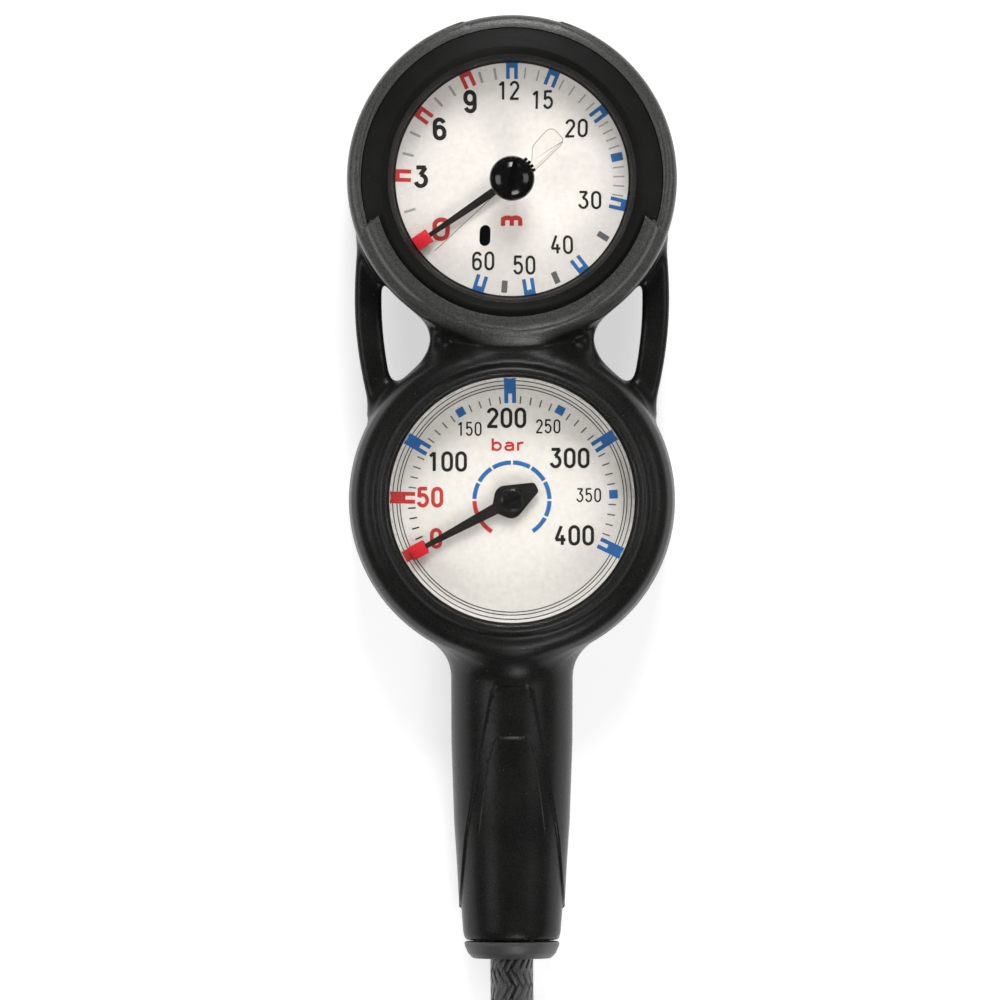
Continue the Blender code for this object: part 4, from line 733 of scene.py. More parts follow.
def skin(x, y, z):
    """How much the handle's outer skin and its pad stand out, in millimetres."""
    result = np.full(x.shape, 0.45)
    low = y < -40.0
    x, y, z = x[low], y[low], z[low]
    across = across_handle(x, y, z)
    in_front = smooth_step(outline_distance(across, y, PANEL), -0.15, 0.15)
    behind = smooth_step(y, -93.7, -93.3)
    pad = smooth_step(-outline_distance(across, y, PAD), -0.15, 0.15) * smooth_step(y, -80.0, -66.0)
    result[low] = np.where(z > HOSE_HEIGHT, 0.45 * in_front + 0.4 * pad, 0.45 * behind)
    return result


def boot_distance(points):
    """Distance from points, in millimetres, to the boot's outer surface."""
    x, y, z = points.T
    depth_r = np.hypot(x, y - DEPTH_Y)
    pressure_r = np.hypot(x, y - PRESSURE_Y)
    split, edge, arms = seam_radius(x, y), lip_edge(x, y), past_arms(x, y)
    crown = 31.5 - 0.15 * np.maximum(depth_r - 33.2, 0.0) ** 1.7
    wider = 0.3 * smooth_step(arms, -0.3, 0.5) * smooth_step(z, 17.0, 19.0)
    depth = outline_distance(depth_r - wider, z, DEPTH_CUP)
    groove = 0.32 * np.exp(-((depth_r - split) / 0.3) ** 2) * smooth_step(arms, -0.3, 0.5)
    depth = np.maximum(depth, z - crown) + groove * smooth_step(z, crown - 1.4, crown - 0.4)
    pressure = outline_distance(pressure_r, z, PRESSURE_CUP)
    sleeve = outline_distance(np.hypot(x, z - HOSE_HEIGHT), PRESSURE_Y - y, SLEEVE) - skin(x, y, z)
    neck_flat = outline_distance(x, y, NECK)
    valley = 25.8 + 1.2 * np.exp(-((neck_flat + 2.2) / 1.5) ** 2)
    neck = both(neck_flat, np.maximum(0.8 - z, z - valley), 1.8)
    body = blend_of(depth, neck, 3.2)
    for side in (-1, 1):
        body = blend_of(body, upright(points, strap_outline(side), 7.0, 19.0, 1.3), 2.2)
    body = blend_of(body, pressure, 4.2)
    body = blend_of(body, sleeve, 5.6)
    lip = both(outline_distance(depth_r, z, LIP), edge, 0.4)
    body = blend_of(body, lip, 0.9 + 3.3 * smooth_step(DEPTH_Y - y, 25.0, 32.0))
    return np.maximum(body, -z)


# %% Merge plain solids, then settle the points
def plain_prism(outline, low, high):
    """An upright solid from an outline seen from above."""
    shape = bmesh.new()
    ring = [shape.verts.new((x * MM, y * MM, low * MM)) for x, y in outline]
    extrude(shape, [shape.faces.new(ring)], 0, 0, high - low)
    return shape


def gathered(shapes):
    """Several shapes in one mesh."""
    whole = bpy.data.meshes.new("gathered")
    all_in_one = bmesh.new()
    for shape in shapes:
        shape.to_mesh(whole)
        shape.free()
        all_in_one.from_mesh(whole)
    bpy.data.meshes.remove(whole)
    return all_in_one


boot_parts = [turned(DEPTH_CUP, DEPTH_CENTRE), turned(PRESSURE_CUP, PRESSURE_CENTRE),
              turned(LIP, DEPTH_CENTRE), plain_prism(NECK, 0.8, 26.0),
              turned(SLEEVE, PRESSURE_CENTRE, along=HOSE_HEIGHT)]
boot_parts += [plain_prism(strap_outline(side), 7.0, 19.0) for side in (-1, 1)]
boot_parts.append(plain_prism([(-13.5, 27.0), (13.5, 27.0), (13.5, 37.0), (-13.5, 37.0)], 0.8, 28.0))
boot = piece("rubber_boot", gathered(boot_parts), BOOT_RUBBER, "console", "console_boot")
merge = boot.modifiers.new("Merge", "REMESH")
merge.mode = "VOXEL"
merge.voxel_size = 0.0008
settle_modifiers(boot)


def settle_points(item, distance, rounds=8):
    """Moves every vertex along the distance's slope until it lies on the surface."""
    count = len(item.data.vertices)
    points = np.empty(count * 3)
    item.data.vertices.foreach_get("co", points)
    points = points.reshape(-1, 3) / MM
    for _ in range(rounds):
        value = distance(points)
        slope = np.empty_like(points)
        for axis in range(3):
            step = np.zeros(3)
            step[axis] = 0.02
            slope[:, axis] = (distance(points + step) - distance(points - step)) / 0.04
        size = np.maximum((slope ** 2).sum(axis=1), 0.25)
        move = slope * (value / size)[:, None]
        length = np.maximum(np.linalg.norm(move, axis=1), 1e-9)
        points -= move * np.minimum(1.0, 0.8 / length)[:, None]
    item.data.vertices.foreach_set("co", (points * MM).ravel())
    item.data.update()
    return points


def fine_zone(points):
    """Where the boot has creases and steps that need smaller faces."""
    x, y, z = points.T
    depth_r = np.hypot(x, y - DEPTH_Y)
    seam = (np.abs(depth_r - seam_radius(x, y)) < 0.75) & (z > 27.5) & (past_arms(x, y) > -1.0)
    line = (np.abs(lip_edge(x, y)) < 0.75) & (z > 29.0) & (depth_r < 35.5)
    crease = (np.abs(np.hypot(x, y - PRESSURE_Y) - 29.7) < 0.75) & (z > 31.0)
    on_sleeve = (y < -42.0) & (np.hypot(x, z - HOSE_HEIGHT) > 9.0)
    across = across_handle(x, y, z)
    to_panel = np.abs(outline_distance(across, y, PANEL))
    to_pad = np.abs(outline_distance(across, y, PAD))
    panels = on_sleeve & (z > 13.0) & (np.minimum(to_panel, to_pad) < 0.75) & (y > -95.0)
    end = on_sleeve & (np.abs(y + 93.5) < 0.9)
    return seam | line | crease | panels | end


def neck_corners(points):
    """Where the neck meets both cups and the lip at once."""
    x, y, z = points.T
    return (np.abs(np.abs(x) - 14.0) < 5.0) & (np.abs(y - 32.0) < 4.5) & (z > 22.0)


def shape_of(mesh):
    """A mesh again as a shape."""
    shape = bmesh.new()
    shape.from_mesh(mesh)
    return shape


def refine(item, zone, cuts):
    """Divides the faces inside a zone."""
    shape = shape_of(item.data)
    points = np.array([vert.co for vert in shape.verts]) / MM
    chosen = zone(points)
    edges = [e for e in shape.edges if chosen[e.verts[0].index] and chosen[e.verts[1].index]]
    bmesh.ops.subdivide_edges(shape, edges=edges, cuts=cuts, use_grid_fill=True)
    bmesh.ops.triangulate(shape, faces=[f for f in shape.faces if len(f.verts) > 4])
    shape.to_mesh(item.data)
    shape.free()


def relax(item, times, zone=None):
    """Evens out the mesh, or the part of it inside a zone, which opens folds and sands small bumps away."""
    shape = shape_of(item.data)
    chosen = shape.verts[:]
    if zone:
        inside = zone(np.array([vert.co for vert in shape.verts]) / MM)
        chosen = [vert for vert in shape.verts if inside[vert.index]]
    for _ in range(times):
        bmesh.ops.smooth_vert(shape, verts=chosen, factor=0.5, use_axis_x=True, use_axis_y=True,
                              use_axis_z=True)
    shape.to_mesh(item.data)
    shape.free()


settle_points(boot, boot_distance, 3)
relax(boot, 2)
settle_points(boot, boot_distance, 3)
relax(boot, 1)
refine(boot, fine_zone, 3)
boot_points = settle_points(boot, boot_distance)
relax(boot, 8, neck_corners)
print("boot", len(boot.data.vertices), "points, off the surface by",
      round(float(np.abs(boot_distance(boot_points)).mean()), 4), "mm on average")

# %% Pockets, windows and the hose's bore
cut_away(boot, turned([(0.0, 42.0), (30.7, 42.0), (30.5, 33.0), (30.5, 32.5), (33.3, 31.4), (33.3, 2.6),
                       (0.0, 2.6)], DEPTH_CENTRE))
cut_away(boot, turned([(0.0, 43.0), (28.2, 43.0), (28.2, 33.9), (27.7, 33.3), (27.7, 31.2), (30.9, 31.2),
                       (30.9, 2.6), (0.0, 2.6)], PRESSURE_CENTRE))
WINDOW = [(0.0, 3.6), (10.0, 3.6), (10.0, 0.5), (10.8, -1.0), (0.0, -1.0)]
for gauge_centre in (DEPTH_CENTRE, PRESSURE_CENTRE):
    cut_away(boot, turned(WINDOW, gauge_centre, 96))
cut_away(boot, turned([(0.0, 98.2), (5.9, 98.2), (5.15, 96.9), (5.15, 72.2), (8.683, 72.2), (8.683, 26.9),
                       (0.0, 26.9)], PRESSURE_CENTRE, 96, along=HOSE_HEIGHT))
shade(boot.data, 42.0)
print("boot", len(boot.data.polygons), "faces")


# %% Where the grain is coarser
def coarse_at(points):
    """1 on the depth gauge's rim and lip, less on the pressure gauge's ring, little elsewhere."""
    x, y, z = points.T
    depth_r = np.hypot(x, y - DEPTH_Y)
    pressure_r = np.hypot(x, y - PRESSURE_Y)
    low = 2.4 * smooth_step(DEPTH_Y - y, 22.0, 30.0)
    rim = smooth_step(z - low, 27.6, 30.2) * (1.0 - smooth_step(depth_r, 36.6, 37.2))
    lip_top = 0.2 * smooth_step(z, 33.0, 33.6) * (1.0 - smooth_step(pressure_r, 29.5, 30.2))
    torus = 0.07 * smooth_step(z, 22.0, 27.0)
    return np.maximum(0.06, np.maximum(rim, np.where(pressure_r < 37.0, np.maximum(lip_top, torus), 0.06)))


boot_points = np.empty(len(boot.data.vertices) * 3)
boot.data.vertices.foreach_get("co", boot_points)
coarse_layer = boot.data.attributes.new("Coarse", "FLOAT", "POINT")
coarse_layer.data.foreach_set("value", coarse_at(boot_points.reshape(-1, 3) / MM).astype(np.float32))

# %% [markdown]
# ## Gauge fronts
# The depth gauge's face is held by a satin bezel ring that slopes outwards from a fine crest,
# over a clear flat lens. Inside it a black wall leads down to the dial. The pressure gauge has
# a thick glass with a ground bevel, in a black ring. All of them are turned parts, so each is
# one spun profile, with as many sides as a close view needs.

# %% Bezel, inner wall and lens of the depth gauge
turned_piece("satin_bezel", [(28.9, 32.6), (33.2, 31.05), (33.2, 28.0), (29.7, 28.0), (29.7, 31.1),
                             (27.3, 31.1), (27.3, 31.5)], 0.18, DEPTH_CENTRE, BEZEL_PLASTIC, "depth_bezel")
turned_piece("dial_wall", [(29.4, 26.6), (29.4, 20.9), (25.15, 20.9), (25.2, 21.6), (25.65, 22.0),
                           (26.2, 24.6), (27.2, 26.6)], 0.1, DEPTH_CENTRE, WALL_PLASTIC, "depth_inner_ring")
turned_piece("flat_lens", [(29.4, 30.8), (29.4, 28.0), (2.6, 28.0), (2.6, 30.8)], 0.2, DEPTH_CENTRE,
             LENS_PLASTIC, "depth_lens")

# %% Glass and ring of the pressure gauge
glass_shape = turned([(0.0, 30.6), (26.72, 30.6), (26.8, 30.52), (26.8, 27.4), (28.6, 27.4), (28.6, 25.2),
                      (0.0, 25.2)], PRESSURE_CENTRE)
piece("bevelled_glass", glass_shape, GAUGE_GLASS, "console", "pressure_glass", sharp=20.0)
turned_piece("glass_ring", [(30.6, 30.9), (30.6, 29.2), (28.6, 29.2), (28.6, 27.7), (27.1, 27.7),
                            (27.1, 30.3), (27.7, 30.9)], 0.15, PRESSURE_CENTRE, RING_PLASTIC,
             "pressure_retaining_ring")

# %% [markdown]
# ## Dials
# A dial is a printed white disc. Its marks and numbers are printed colour, so they are very
# thin shapes that lie on the disc. The numbers have the narrow, even strokes of gauge
# lettering, so each digit is drawn as a pen would draw it, by tubes that are then pressed flat.

# %% White discs
slot_shape = bmesh.new()
cylinder(slot_shape, 1.2, 4.0, 48)
for vert in slot_shape.verts:
    vert.co.y += math.copysign(1.0 * MM, vert.co.y)
shift(slot_shape, slot_shape.verts, -6.0, DEPTH_Y - 12.5, 20.0)
depth_dial = turned_piece("depth_disc", [(29.4, 20.6), (29.4, 19.6), (1.0, 19.6), (1.0, 20.6)], 0,
                          DEPTH_CENTRE, DIAL_WHITE, "depth_dial")
cut_away(depth_dial, slot_shape)
depth_dial.data.shade_flat()
pressure_dial = turned_piece("pressure_disc", [(27.1, 20.6), (27.1, 19.6), (1.0, 19.6), (1.0, 20.6)], 0,
                             PRESSURE_CENTRE, DIAL_WHITE, "pressure_dial")
pressure_dial.data.shade_flat()


# %% Marks round a dial
def mark(shape, centre, degrees, inner, outer, width, aside=0.0):
    """A thin block between two radii, at an angle clockwise from the top of the dial."""
    left, right = aside - width / 2, aside + width / 2
    made = block(shape, left, right, inner, outer, DIAL_TOP + 0.005, DIAL_TOP + 0.055)
    turned_to(shape, made, degrees, centre)


def forked_mark(shape, centre, degrees, inner, outer, width, leg, notch):
    """A block whose inner end is notched, so that it stands on two legs."""
    mark(shape, centre, degrees, inner + notch, outer, width)
    for side in (-1, 1):
        mark(shape, centre, degrees, inner, inner + notch, leg, side * (width - leg) / 2)


def printed_marks(name, finish, centre, *groups):
    """A piece of marks; a group is angles and three measures, or five for forked marks."""
    shape = bmesh.new()
    for angles, measures in groups:
        draw = forked_mark if len(measures) == 5 else mark
        for degrees in angles:
            draw(shape, centre, degrees, *measures)
    piece(name, shape, finish, "console")


# %% Marks of the depth dial
printed_marks("depth_red_marks", PRINT_RED, DEPTH_CENTRE,
              ((235.8, 272.0, 306.0, 336.0), (21.9, 25.5, 2.7, 0.85, 2.35)))
printed_marks("depth_blue_marks", PRINT_BLUE, DEPTH_CENTRE,
              ((0.0, 21.5, 53.0, 103.0, 141.6, 171.0, 197.0), (21.8, 25.4, 2.55, 0.8, 2.3)),
              ((78.0,), (22.0, 24.4, 1.75)))
printed_marks("depth_grey_marks", PRINT_GREY, DEPTH_CENTRE, ((122.0, 156.0, 184.0), (22.0, 24.5, 1.25)))
printed_marks("depth_pale_marks", PRINT_PALE, DEPTH_CENTRE,
              ((253.0, 283.5, 295.0, 316.5, 326.0, 343.0, 351.0), (21.9, 24.3, 0.55)),
              ((7.0, 14.0, 27.5, 34.0, 41.0, 47.0, 59.0, 63.5, 68.0, 72.5, 83.5, 88.5, 93.5, 98.5),
               (22.0, 24.3, 0.32)))

# %% Marks of the pressure dial
def bar_angles(bars):
    """Angles of pressures in bar."""
    return [-118.0 + 0.585 * bar for bar in bars]


FORK = (21.4, 26.95, 2.6, 0.88, 2.1)
TICK = (21.3, 23.0, 0.3)
TICK_BARS = [bar for bar in range(0, 401, 10) if bar % 50]
printed_marks("pressure_red_marks", PRINT_RED, PRESSURE_CENTRE, (bar_angles((0, 50)), FORK))
printed_marks("pressure_blue_marks", PRINT_BLUE, PRESSURE_CENTRE, (bar_angles((100, 200, 300, 400)), FORK),
              (bar_angles((150, 250, 350)), (21.5, 23.4, 1.9)))
printed_marks("pressure_grey_ticks", PRINT_GREY, PRESSURE_CENTRE,
              (bar_angles(bar for bar in TICK_BARS if bar > 50), TICK))
printed_marks("pressure_dark_ticks", PRINT_BLACK, PRESSURE_CENTRE,
              (bar_angles(bar for bar in TICK_BARS if bar < 50), TICK))


# %% Rings printed on the pressure dial
def printed_arc(shape, centre, inner, outer, start, end, step=3.0):
    """A thin curved band: a flat strip, bent round the dial and given a thickness."""
    count = max(1, round((end - start) / step))
    made = bmesh.ops.create_grid(shape, x_segments=count, y_segments=1, size=0.5)["verts"]
    for vert in made:
        angle = math.radians(start + (end - start) * (vert.co.x + 0.5))
        radius = (inner + (outer - inner) * (vert.co.y + 0.5)) * MM
        vert.co = (centre[0] * MM + radius * math.sin(angle), centre[1] * MM + radius * math.cos(angle),
                   (DIAL_TOP + 0.05) * MM)
    faces = list({face for vert in made for face in vert.link_faces})
    bmesh.ops.recalc_face_normals(shape, faces=faces)
    bmesh.ops.solidify(shape, geom=faces, thickness=0.04 * MM)


GAPS = [-149.0, -119.0, -90.0, -62.0, -32.0, 0.0, 30.0, 60.0, 90.0, 117.0, 148.0]
red_arcs, blue_arcs = bmesh.new(), bmesh.new()
for i, (start, end) in enumerate(zip(GAPS, GAPS[1:])):
    printed_arc(red_arcs if i < 2 else blue_arcs, PRESSURE_CENTRE, 7.8, 8.75, start + 1.6, end - 1.6)
piece("pressure_red_arcs", red_arcs, PRINT_RED, "console")
piece("pressure_blue_arcs", blue_arcs, PRINT_BLUE, "console")
thin_rings = bmesh.new()
for radius in (24.75, 25.4, 26.35):
    printed_arc(thin_rings, PRESSURE_CENTRE, radius - 0.1, radius + 0.1, 0.0, 360.0, 2.0)
bmesh.ops.remove_doubles(thin_rings, verts=thin_rings.verts, dist=1e-7)
piece("pressure_thin_rings", thin_rings, PRINT_BLACK, "console")


# %% Digits as pen strokes
def curl(x, y, wide, tall, start, end, steps=12):
    """Points along part of an oval, in parts of a digit's box."""
    angles = [math.radians(start + (end - start) * i / steps) for i in range(steps + 1)]
    return [(x + wide * math.cos(a), y + tall * math.sin(a)) for a in angles]


R = 0.27
STROKES = {
    "0": [curl(0.5, 1 - R, 0.5, R, 0, 180) + curl(0.5, R, 0.5, R, 180, 360) + [(1.0, 1 - R)]],
    "1": [[(0.12, 0.80), (0.62, 1.0)], [(0.62, 1.04), (0.62, -0.05)]],
    "2": [curl(0.5, 1 - R, 0.5, R, 170, -22) + [(0.0, 0.0)], [(-0.12, 0.0), (1.08, 0.0)]],
    "3": [[(0.0, 1.0), (1.0, 1.0)], [(0.98, 1.0), (0.42, 0.60)],
          [(0.42, 0.60)] + curl(0.47, 0.3, 0.53, 0.3, 90, -165, 16)],
    "4": [[(0.62, 1.04), (0.0, 0.25)], [(-0.06, 0.25), (1.12, 0.25)], [(0.74, 0.52), (0.74, -0.05)]],
    "5": [[(0.98, 1.0), (0.06, 1.0)], [(0.10, 1.05), (0.05, 0.50)],
          curl(0.47, 0.32, 0.53, 0.32, 145, -160, 16)],
    "6": [curl(0.5, 1 - R, 0.5, R, 20, 180) + curl(0.5, R, 0.5, R, 180, 360),
          [(1.0, R), (1.0, 0.34)] + curl(0.5, 0.34, 0.5, R, 0, 160)],
    "9": [curl(0.5, R, 0.5, R, 200, 360) + curl(0.5, 1 - R, 0.5, R, 0, 180),
          [(0.0, 1 - R), (0.0, 0.66)] + curl(0.5, 0.66, 0.5, R, 180, 340)],
    "b": [[(0.0, 1.05), (0.0, -0.06)], curl(0.5, 0.33, 0.5, 0.33, 0, 360, 20)],
    "a": [curl(0.48, 0.45, 0.46, 0.21, 155, 0) + [(0.94, -0.06)],
          curl(0.42, 0.19, 0.42, 0.19, 90, 270, 10) + [(0.62, 0.0), (0.94, 0.14)],
          [(0.42, 0.38), (0.94, 0.38)]],
    "r": [[(0.0, 0.70), (0.0, -0.06)], curl(0.5, 0.42, 0.5, 0.24, 180, 70, 8)],
    "m": [[(0.0, 0.70), (0.0, -0.06)], curl(0.27, 0.47, 0.27, 0.19, 180, 0, 10) + [(0.54, -0.06)],
          curl(0.80, 0.47, 0.26, 0.19, 180, 0, 10) + [(1.06, -0.06)]],
}


def pen_drawing(name, lines, radius):
    """A shape of round tubes; each line is (points, thickness, closed)."""
    curve = bpy.data.curves.new(name, "CURVE")
    curve.dimensions = "3D"
    curve.bevel_depth = radius
    curve.bevel_resolution = 2
    curve.use_fill_caps = True
    for points, thickness, closed in lines:
        line = curve.splines.new("POLY")
        line.points.add(len(points) - 1)
        line.use_cyclic_u = closed
        for point, place in zip(line.points, points):
            point.co = (*place, 1.0)
            point.radius = thickness
    guide = add_object(name + "_pen", curve)
    bpy.context.view_layer.update()
    graph = bpy.context.evaluated_depsgraph_get()
    mesh = bpy.data.meshes.new_from_object(guide.evaluated_get(graph))
    bpy.data.objects.remove(guide, do_unlink=True)
    shape = shape_of(mesh)
    bpy.data.meshes.remove(mesh)
    return shape


# %% Numbers of the two dials
SEEN_DEPTH = (512.3, 179.6, DEPTH_Y)
SEEN_PRESSURE = (512.5, 495.8, PRESSURE_Y)
SEEN_SCALE = 4.51


def lettered(name, finish, dial, sizes, words):
    """Printed words, each placed as the photograph shows it from the middle of its dial."""
    height, width, stroke, gap = sizes
    lines = []
    for text, seen_x, seen_y in words:
        x = (seen_x - dial[0]) / SEEN_SCALE
        y = dial[2] + (dial[1] - seen_y) / SEEN_SCALE
        left = x - (len(text) * width + (len(text) - 1) * gap) / 2
        for i, sign in enumerate(text):
            box_x = left + i * (width + gap) + stroke / 2
            box_y = y - height / 2 + stroke / 2
            for path in STROKES[sign]:
                points = [(box_x + u * (width - stroke), box_y + v * (height - stroke), 0.0) for u, v in path]
                lines.append((points, stroke, False))
    shape = pen_drawing(name, lines, 0.5)
    bmesh.ops.remove_doubles(shape, verts=shape.verts, dist=1e-4)
    bmesh.ops.scale(shape, verts=shape.verts, vec=(MM, MM, 0.06 * MM))
    shift(shape, shape.verts, 0.0, 0.0, DIAL_TOP + 0.035)
    face_outward(shape)
    piece(name, shape, finish, "console")


# sizes are height, width of a digit, stroke and gap, in millimetres
lettered("depth_thin_numbers", PRINT_BLACK, SEEN_DEPTH, (4.0, 2.15, 0.54, 0.52), [
    ("12", 508.7, 92), ("15", 542, 101), ("20", 576, 129), ("30", 589.3, 200), ("40", 561.5, 244),
    ("50", 524.5, 264), ("60", 484, 260)])
lettered("depth_bold_numbers", PRINT_BLACK, SEEN_DEPTH, (4.95, 2.9, 0.9, 0.5), [
    ("3", 423, 177), ("6", 441, 130), ("9", 471, 103)])
lettered("depth_red_zero", PRINT_RED, SEEN_DEPTH, (5.1, 3.7, 0.98, 0.5), [("0", 442.5, 228.7)])
lettered("depth_unit", PRINT_RED, SEEN_DEPTH, (3.3, 4.7, 1.0, 0.4), [("m", 511.5, 221.5)])
lettered("pressure_bold_numbers", PRINT_BLACK, SEEN_PRESSURE, (4.55, 2.6, 0.72, 0.48), [
    ("100", 448, 457.5), ("200", 507, 414), ("300", 570, 454), ("400", 574.5, 531)])
lettered("pressure_small_numbers", PRINT_BLACK, SEEN_PRESSURE, (3.15, 1.55, 0.38, 0.4), [
    ("150", 470, 425), ("250", 548.5, 422.5), ("350", 589, 491)])
lettered("pressure_red_numbers", PRINT_RED, SEEN_PRESSURE, (4.6, 2.7, 0.82, 0.45), [
    ("0", 437, 534), ("50", 431, 493)])
lettered("pressure_unit", PRINT_RED, SEEN_PRESSURE, (2.95, 2.3, 0.52, 0.5), [("bar", 510, 440.5)])



# %% [markdown]
# ## Pointers
# A gauge's pointer is a thin stamped arm that narrows to a square red tip, on a round hub. Its
# arm is the hull of a large disc and a small one, the way a taut band would go round both.

# %% Tapered arms with red tips
def hull_between(shape, circles, low, high, sides=40):
    """A solid that goes tightly round several discs of (x, y, radius)."""
    verts = []
    for x, y, radius in circles:
        made = cylinder(shape, radius, high - low, sides, capped=False)
        shift(shape, made, x, y, (low + high) / 2)
        verts += made
    bmesh.ops.delete(shape, geom=list({e for v in verts for e in v.link_edges}), context="EDGES_FACES")
    verts = [v for v in verts if v.is_valid]
    hull = bmesh.ops.convex_hull(shape, input=verts)
    buried = [g for g in hull["geom_interior"] if isinstance(g, bmesh.types.BMVert)]
    bmesh.ops.delete(shape, geom=buried, context="VERTS")
    return [v for v in verts if v.is_valid]


def bevel(shape, edges, size, steps, affect="EDGES"):
    """Rounds edges or corners by millimetres."""
    bmesh.ops.bevel(shape, geom=edges, offset=size * MM, segments=steps, affect=affect, profile=0.5,
                    material=-1)


def pointer_arm(name, length, degrees, centre, body, hub, widths):
    """An arm on a hub that is the hull of several discs."""
    arm = bmesh.new()
    verts = hull_between(arm, hub, 22.25, 22.85)
    verts += hull_between(arm, [(0.0, 1.5, widths[0] / 2), (0.0, length - 3.3, widths[1] / 2)], 22.2, 22.9)
    turned_to(arm, verts, degrees, centre)
    piece(name + "_arm", arm, POINTER_BLACK, body, name)
    tip = bmesh.new()
    block(tip, -1.6, 1.6, length - 3.5, length + 0.15, 22.2, 22.95)
    bevel(tip, tip.edges[:], 0.12, 2)
    turned_to(tip, tip.verts[:], degrees, centre)
    piece(name + "_red_tip", tip, SIGNAL_RED, body)


pointer_arm("depth_pointer", 25.2, 235.8, DEPTH_CENTRE, "depth_pointer", [(0.0, 0.0, 2.6)], (2.2, 1.0))
SHAPED_HUB = [(-1.3, 0.9, 2.5), (1.3, 0.9, 2.5), (0.0, 3.4, 1.4), (-0.5, -5.3, 0.9), (0.5, -5.3, 0.9)]
pointer_arm("pressure_pointer", 25.1, 241.8, PRESSURE_CENTRE, "pressure_pointer", SHAPED_HUB, (2.7, 1.1))

# %% Slotted cap over the pressure pointer's hub
cap = turned_piece("hub_cap", [(0.0, 24.2), (2.2, 24.2), (2.75, 23.8), (2.75, 23.2), (0.0, 23.2)], 0.25,
                   PRESSURE_CENTRE, KNOB_BLACK, "pressure_pointer_cap", "pressure_pointer", 64)
slot_cut = bmesh.new()
turned_to(slot_cut, block(slot_cut, -3.5, 3.5, -0.4, 0.4, 23.75, 25.5), -25.0, PRESSURE_CENTRE)
cut_away(cap, slot_cut)
shade(cap.data, 38.0)

# %% [markdown]
# ## The trailing needle and its knob
# Under the lens a clear needle stays where the pointer last pushed it, and a glossy knob on the
# lens turns it back. The needle shows only as a faint outline, so it is a clear plate; a fine
# dark line of painted shade round its edge and along its arm stands for the dark edges of clear plastic.

# %% Clear needle
TAG = [(-0.9, 2.0), (4.6, 4.1), (4.65, 7.4), (7.9, 11.0), (9.3, 11.1), (11.3, 8.9), (11.2, 7.8), (5.2, 1.9),
       (1.6, -1.2)]
needle = bmesh.new()
ring_verts = [needle.verts.new((x * MM, (y + DEPTH_Y) * MM, 24.55 * MM)) for x, y in TAG]
needle.faces.new(ring_verts)
bevel(needle, ring_verts, 0.62, 5, "VERTICES")
needle.faces.ensure_lookup_table()
tag_line = [vert.co.copy() for vert in needle.faces[0].verts]
extrude(needle, list(needle.faces), 0, 0, 0.4)
arm_verts = hull_between(needle, [(0.0, 0.0, 2.0), (0.0, 22.3, 0.2)], 24.5, 25.0)
turned_to(needle, arm_verts, 227.0, DEPTH_CENTRE)
piece("clear_needle", needle, NEEDLE_PLASTIC, "max_depth_needle", "max_depth_needle")

# %% Painted shade along the needle's edge and arm
# Painted shade: dark lines round the tag and along the arm, where a clear plate's edges look dark
SHADE_LINE_Z = 24.98 * MM
arm_shade_line = [(x * MM, (y + DEPTH_Y) * MM, SHADE_LINE_Z) for x, y in ((-1.5, -1.4), (-16.95, -15.8))]
tag_shade_line = [(point.x, point.y, SHADE_LINE_Z) for point in tag_line]
shade_line_shape = pen_drawing("needle_edge", [(tag_shade_line, 1.0, True), (arm_shade_line, 1.0, False)], 0.06 * MM)
piece("needle_edge", shade_line_shape, EDGE_SHADE_PAINT, "max_depth_needle")

# %% Grip ridges under the knob's rim
ridges = bmesh.new()
for degrees in (36.0, 47.0, 58.0, 69.0):
    turned_to(ridges, block(ridges, -0.36, 0.36, 4.3, 5.5, 31.12, 31.6), degrees, DEPTH_CENTRE)
piece("grip_ridges", ridges, KNOB_BLACK, "max_depth_needle")

# %% Glossy knob with its slot
knob_shape = turned(rounded([
    (0.0, 34.45), (2.3, 34.28), (3.8, 33.72), (4.68, 32.8), (5.0, 31.7), (4.9, 31.1), (1.5, 31.1),
    (1.5, 30.1), (1.15, 30.1), (1.15, 28.7), (1.5, 28.7), (1.5, 24.1), (0.0, 24.1)], 0.5, 4),
    DEPTH_CENTRE, 128)
knob = piece("reset_knob", knob_shape, KNOB_BLACK, "max_depth_needle", "depth_reset_knob")
slot_cut = bmesh.new()
turned_to(slot_cut, block(slot_cut, -6.0, 6.0, -0.6, 0.6, 32.8, 36.0), -78.0, DEPTH_CENTRE)
cut_away(knob, slot_cut)
shade(knob.data, 38.0)

# %% [markdown]
# ## Collar, ferrules and the far fitting
# The hose leaves the handle through a plastic collar. At its far end a crimped ferrule grips it,
# and a hexagon turns the thread that screws into the first stage of a regulator.

# %% Collar
turned_piece("end_collar", [(8.6, 101.4), (9.7, 100.3), (10.45, 98.6), (10.55, 97.9), (10.2, 97.6),
                            (5.15, 97.6), (5.15, 101.4)], 0.35, PRESSURE_CENTRE, COLLAR_PLASTIC,
             "hose_collar", "console", 128, HOSE_HEIGHT)

# %% Crimped ferrule at the far end
FAR = (32.0, -236.096)
FAR_HEIGHT = 8.1
waists = []
for i in range(3):
    top = 16.4 - 5.27 * i
    waists += [(7.0, top - 1.84), (6.5, top - 2.63), (6.5, top - 4.2), (7.0, top - 5.0)]
far_ferrule = turned_piece("crimped_ferrule", [(0.0, 17.0), (6.4, 17.0), (7.0, 16.4)] + waists + [
    (7.0, 0.5), (6.6, 0.0), (0.0, 0.0)], 0.3, FAR, CHROME, "far_end_ferrule", "hose", 96, FAR_HEIGHT)

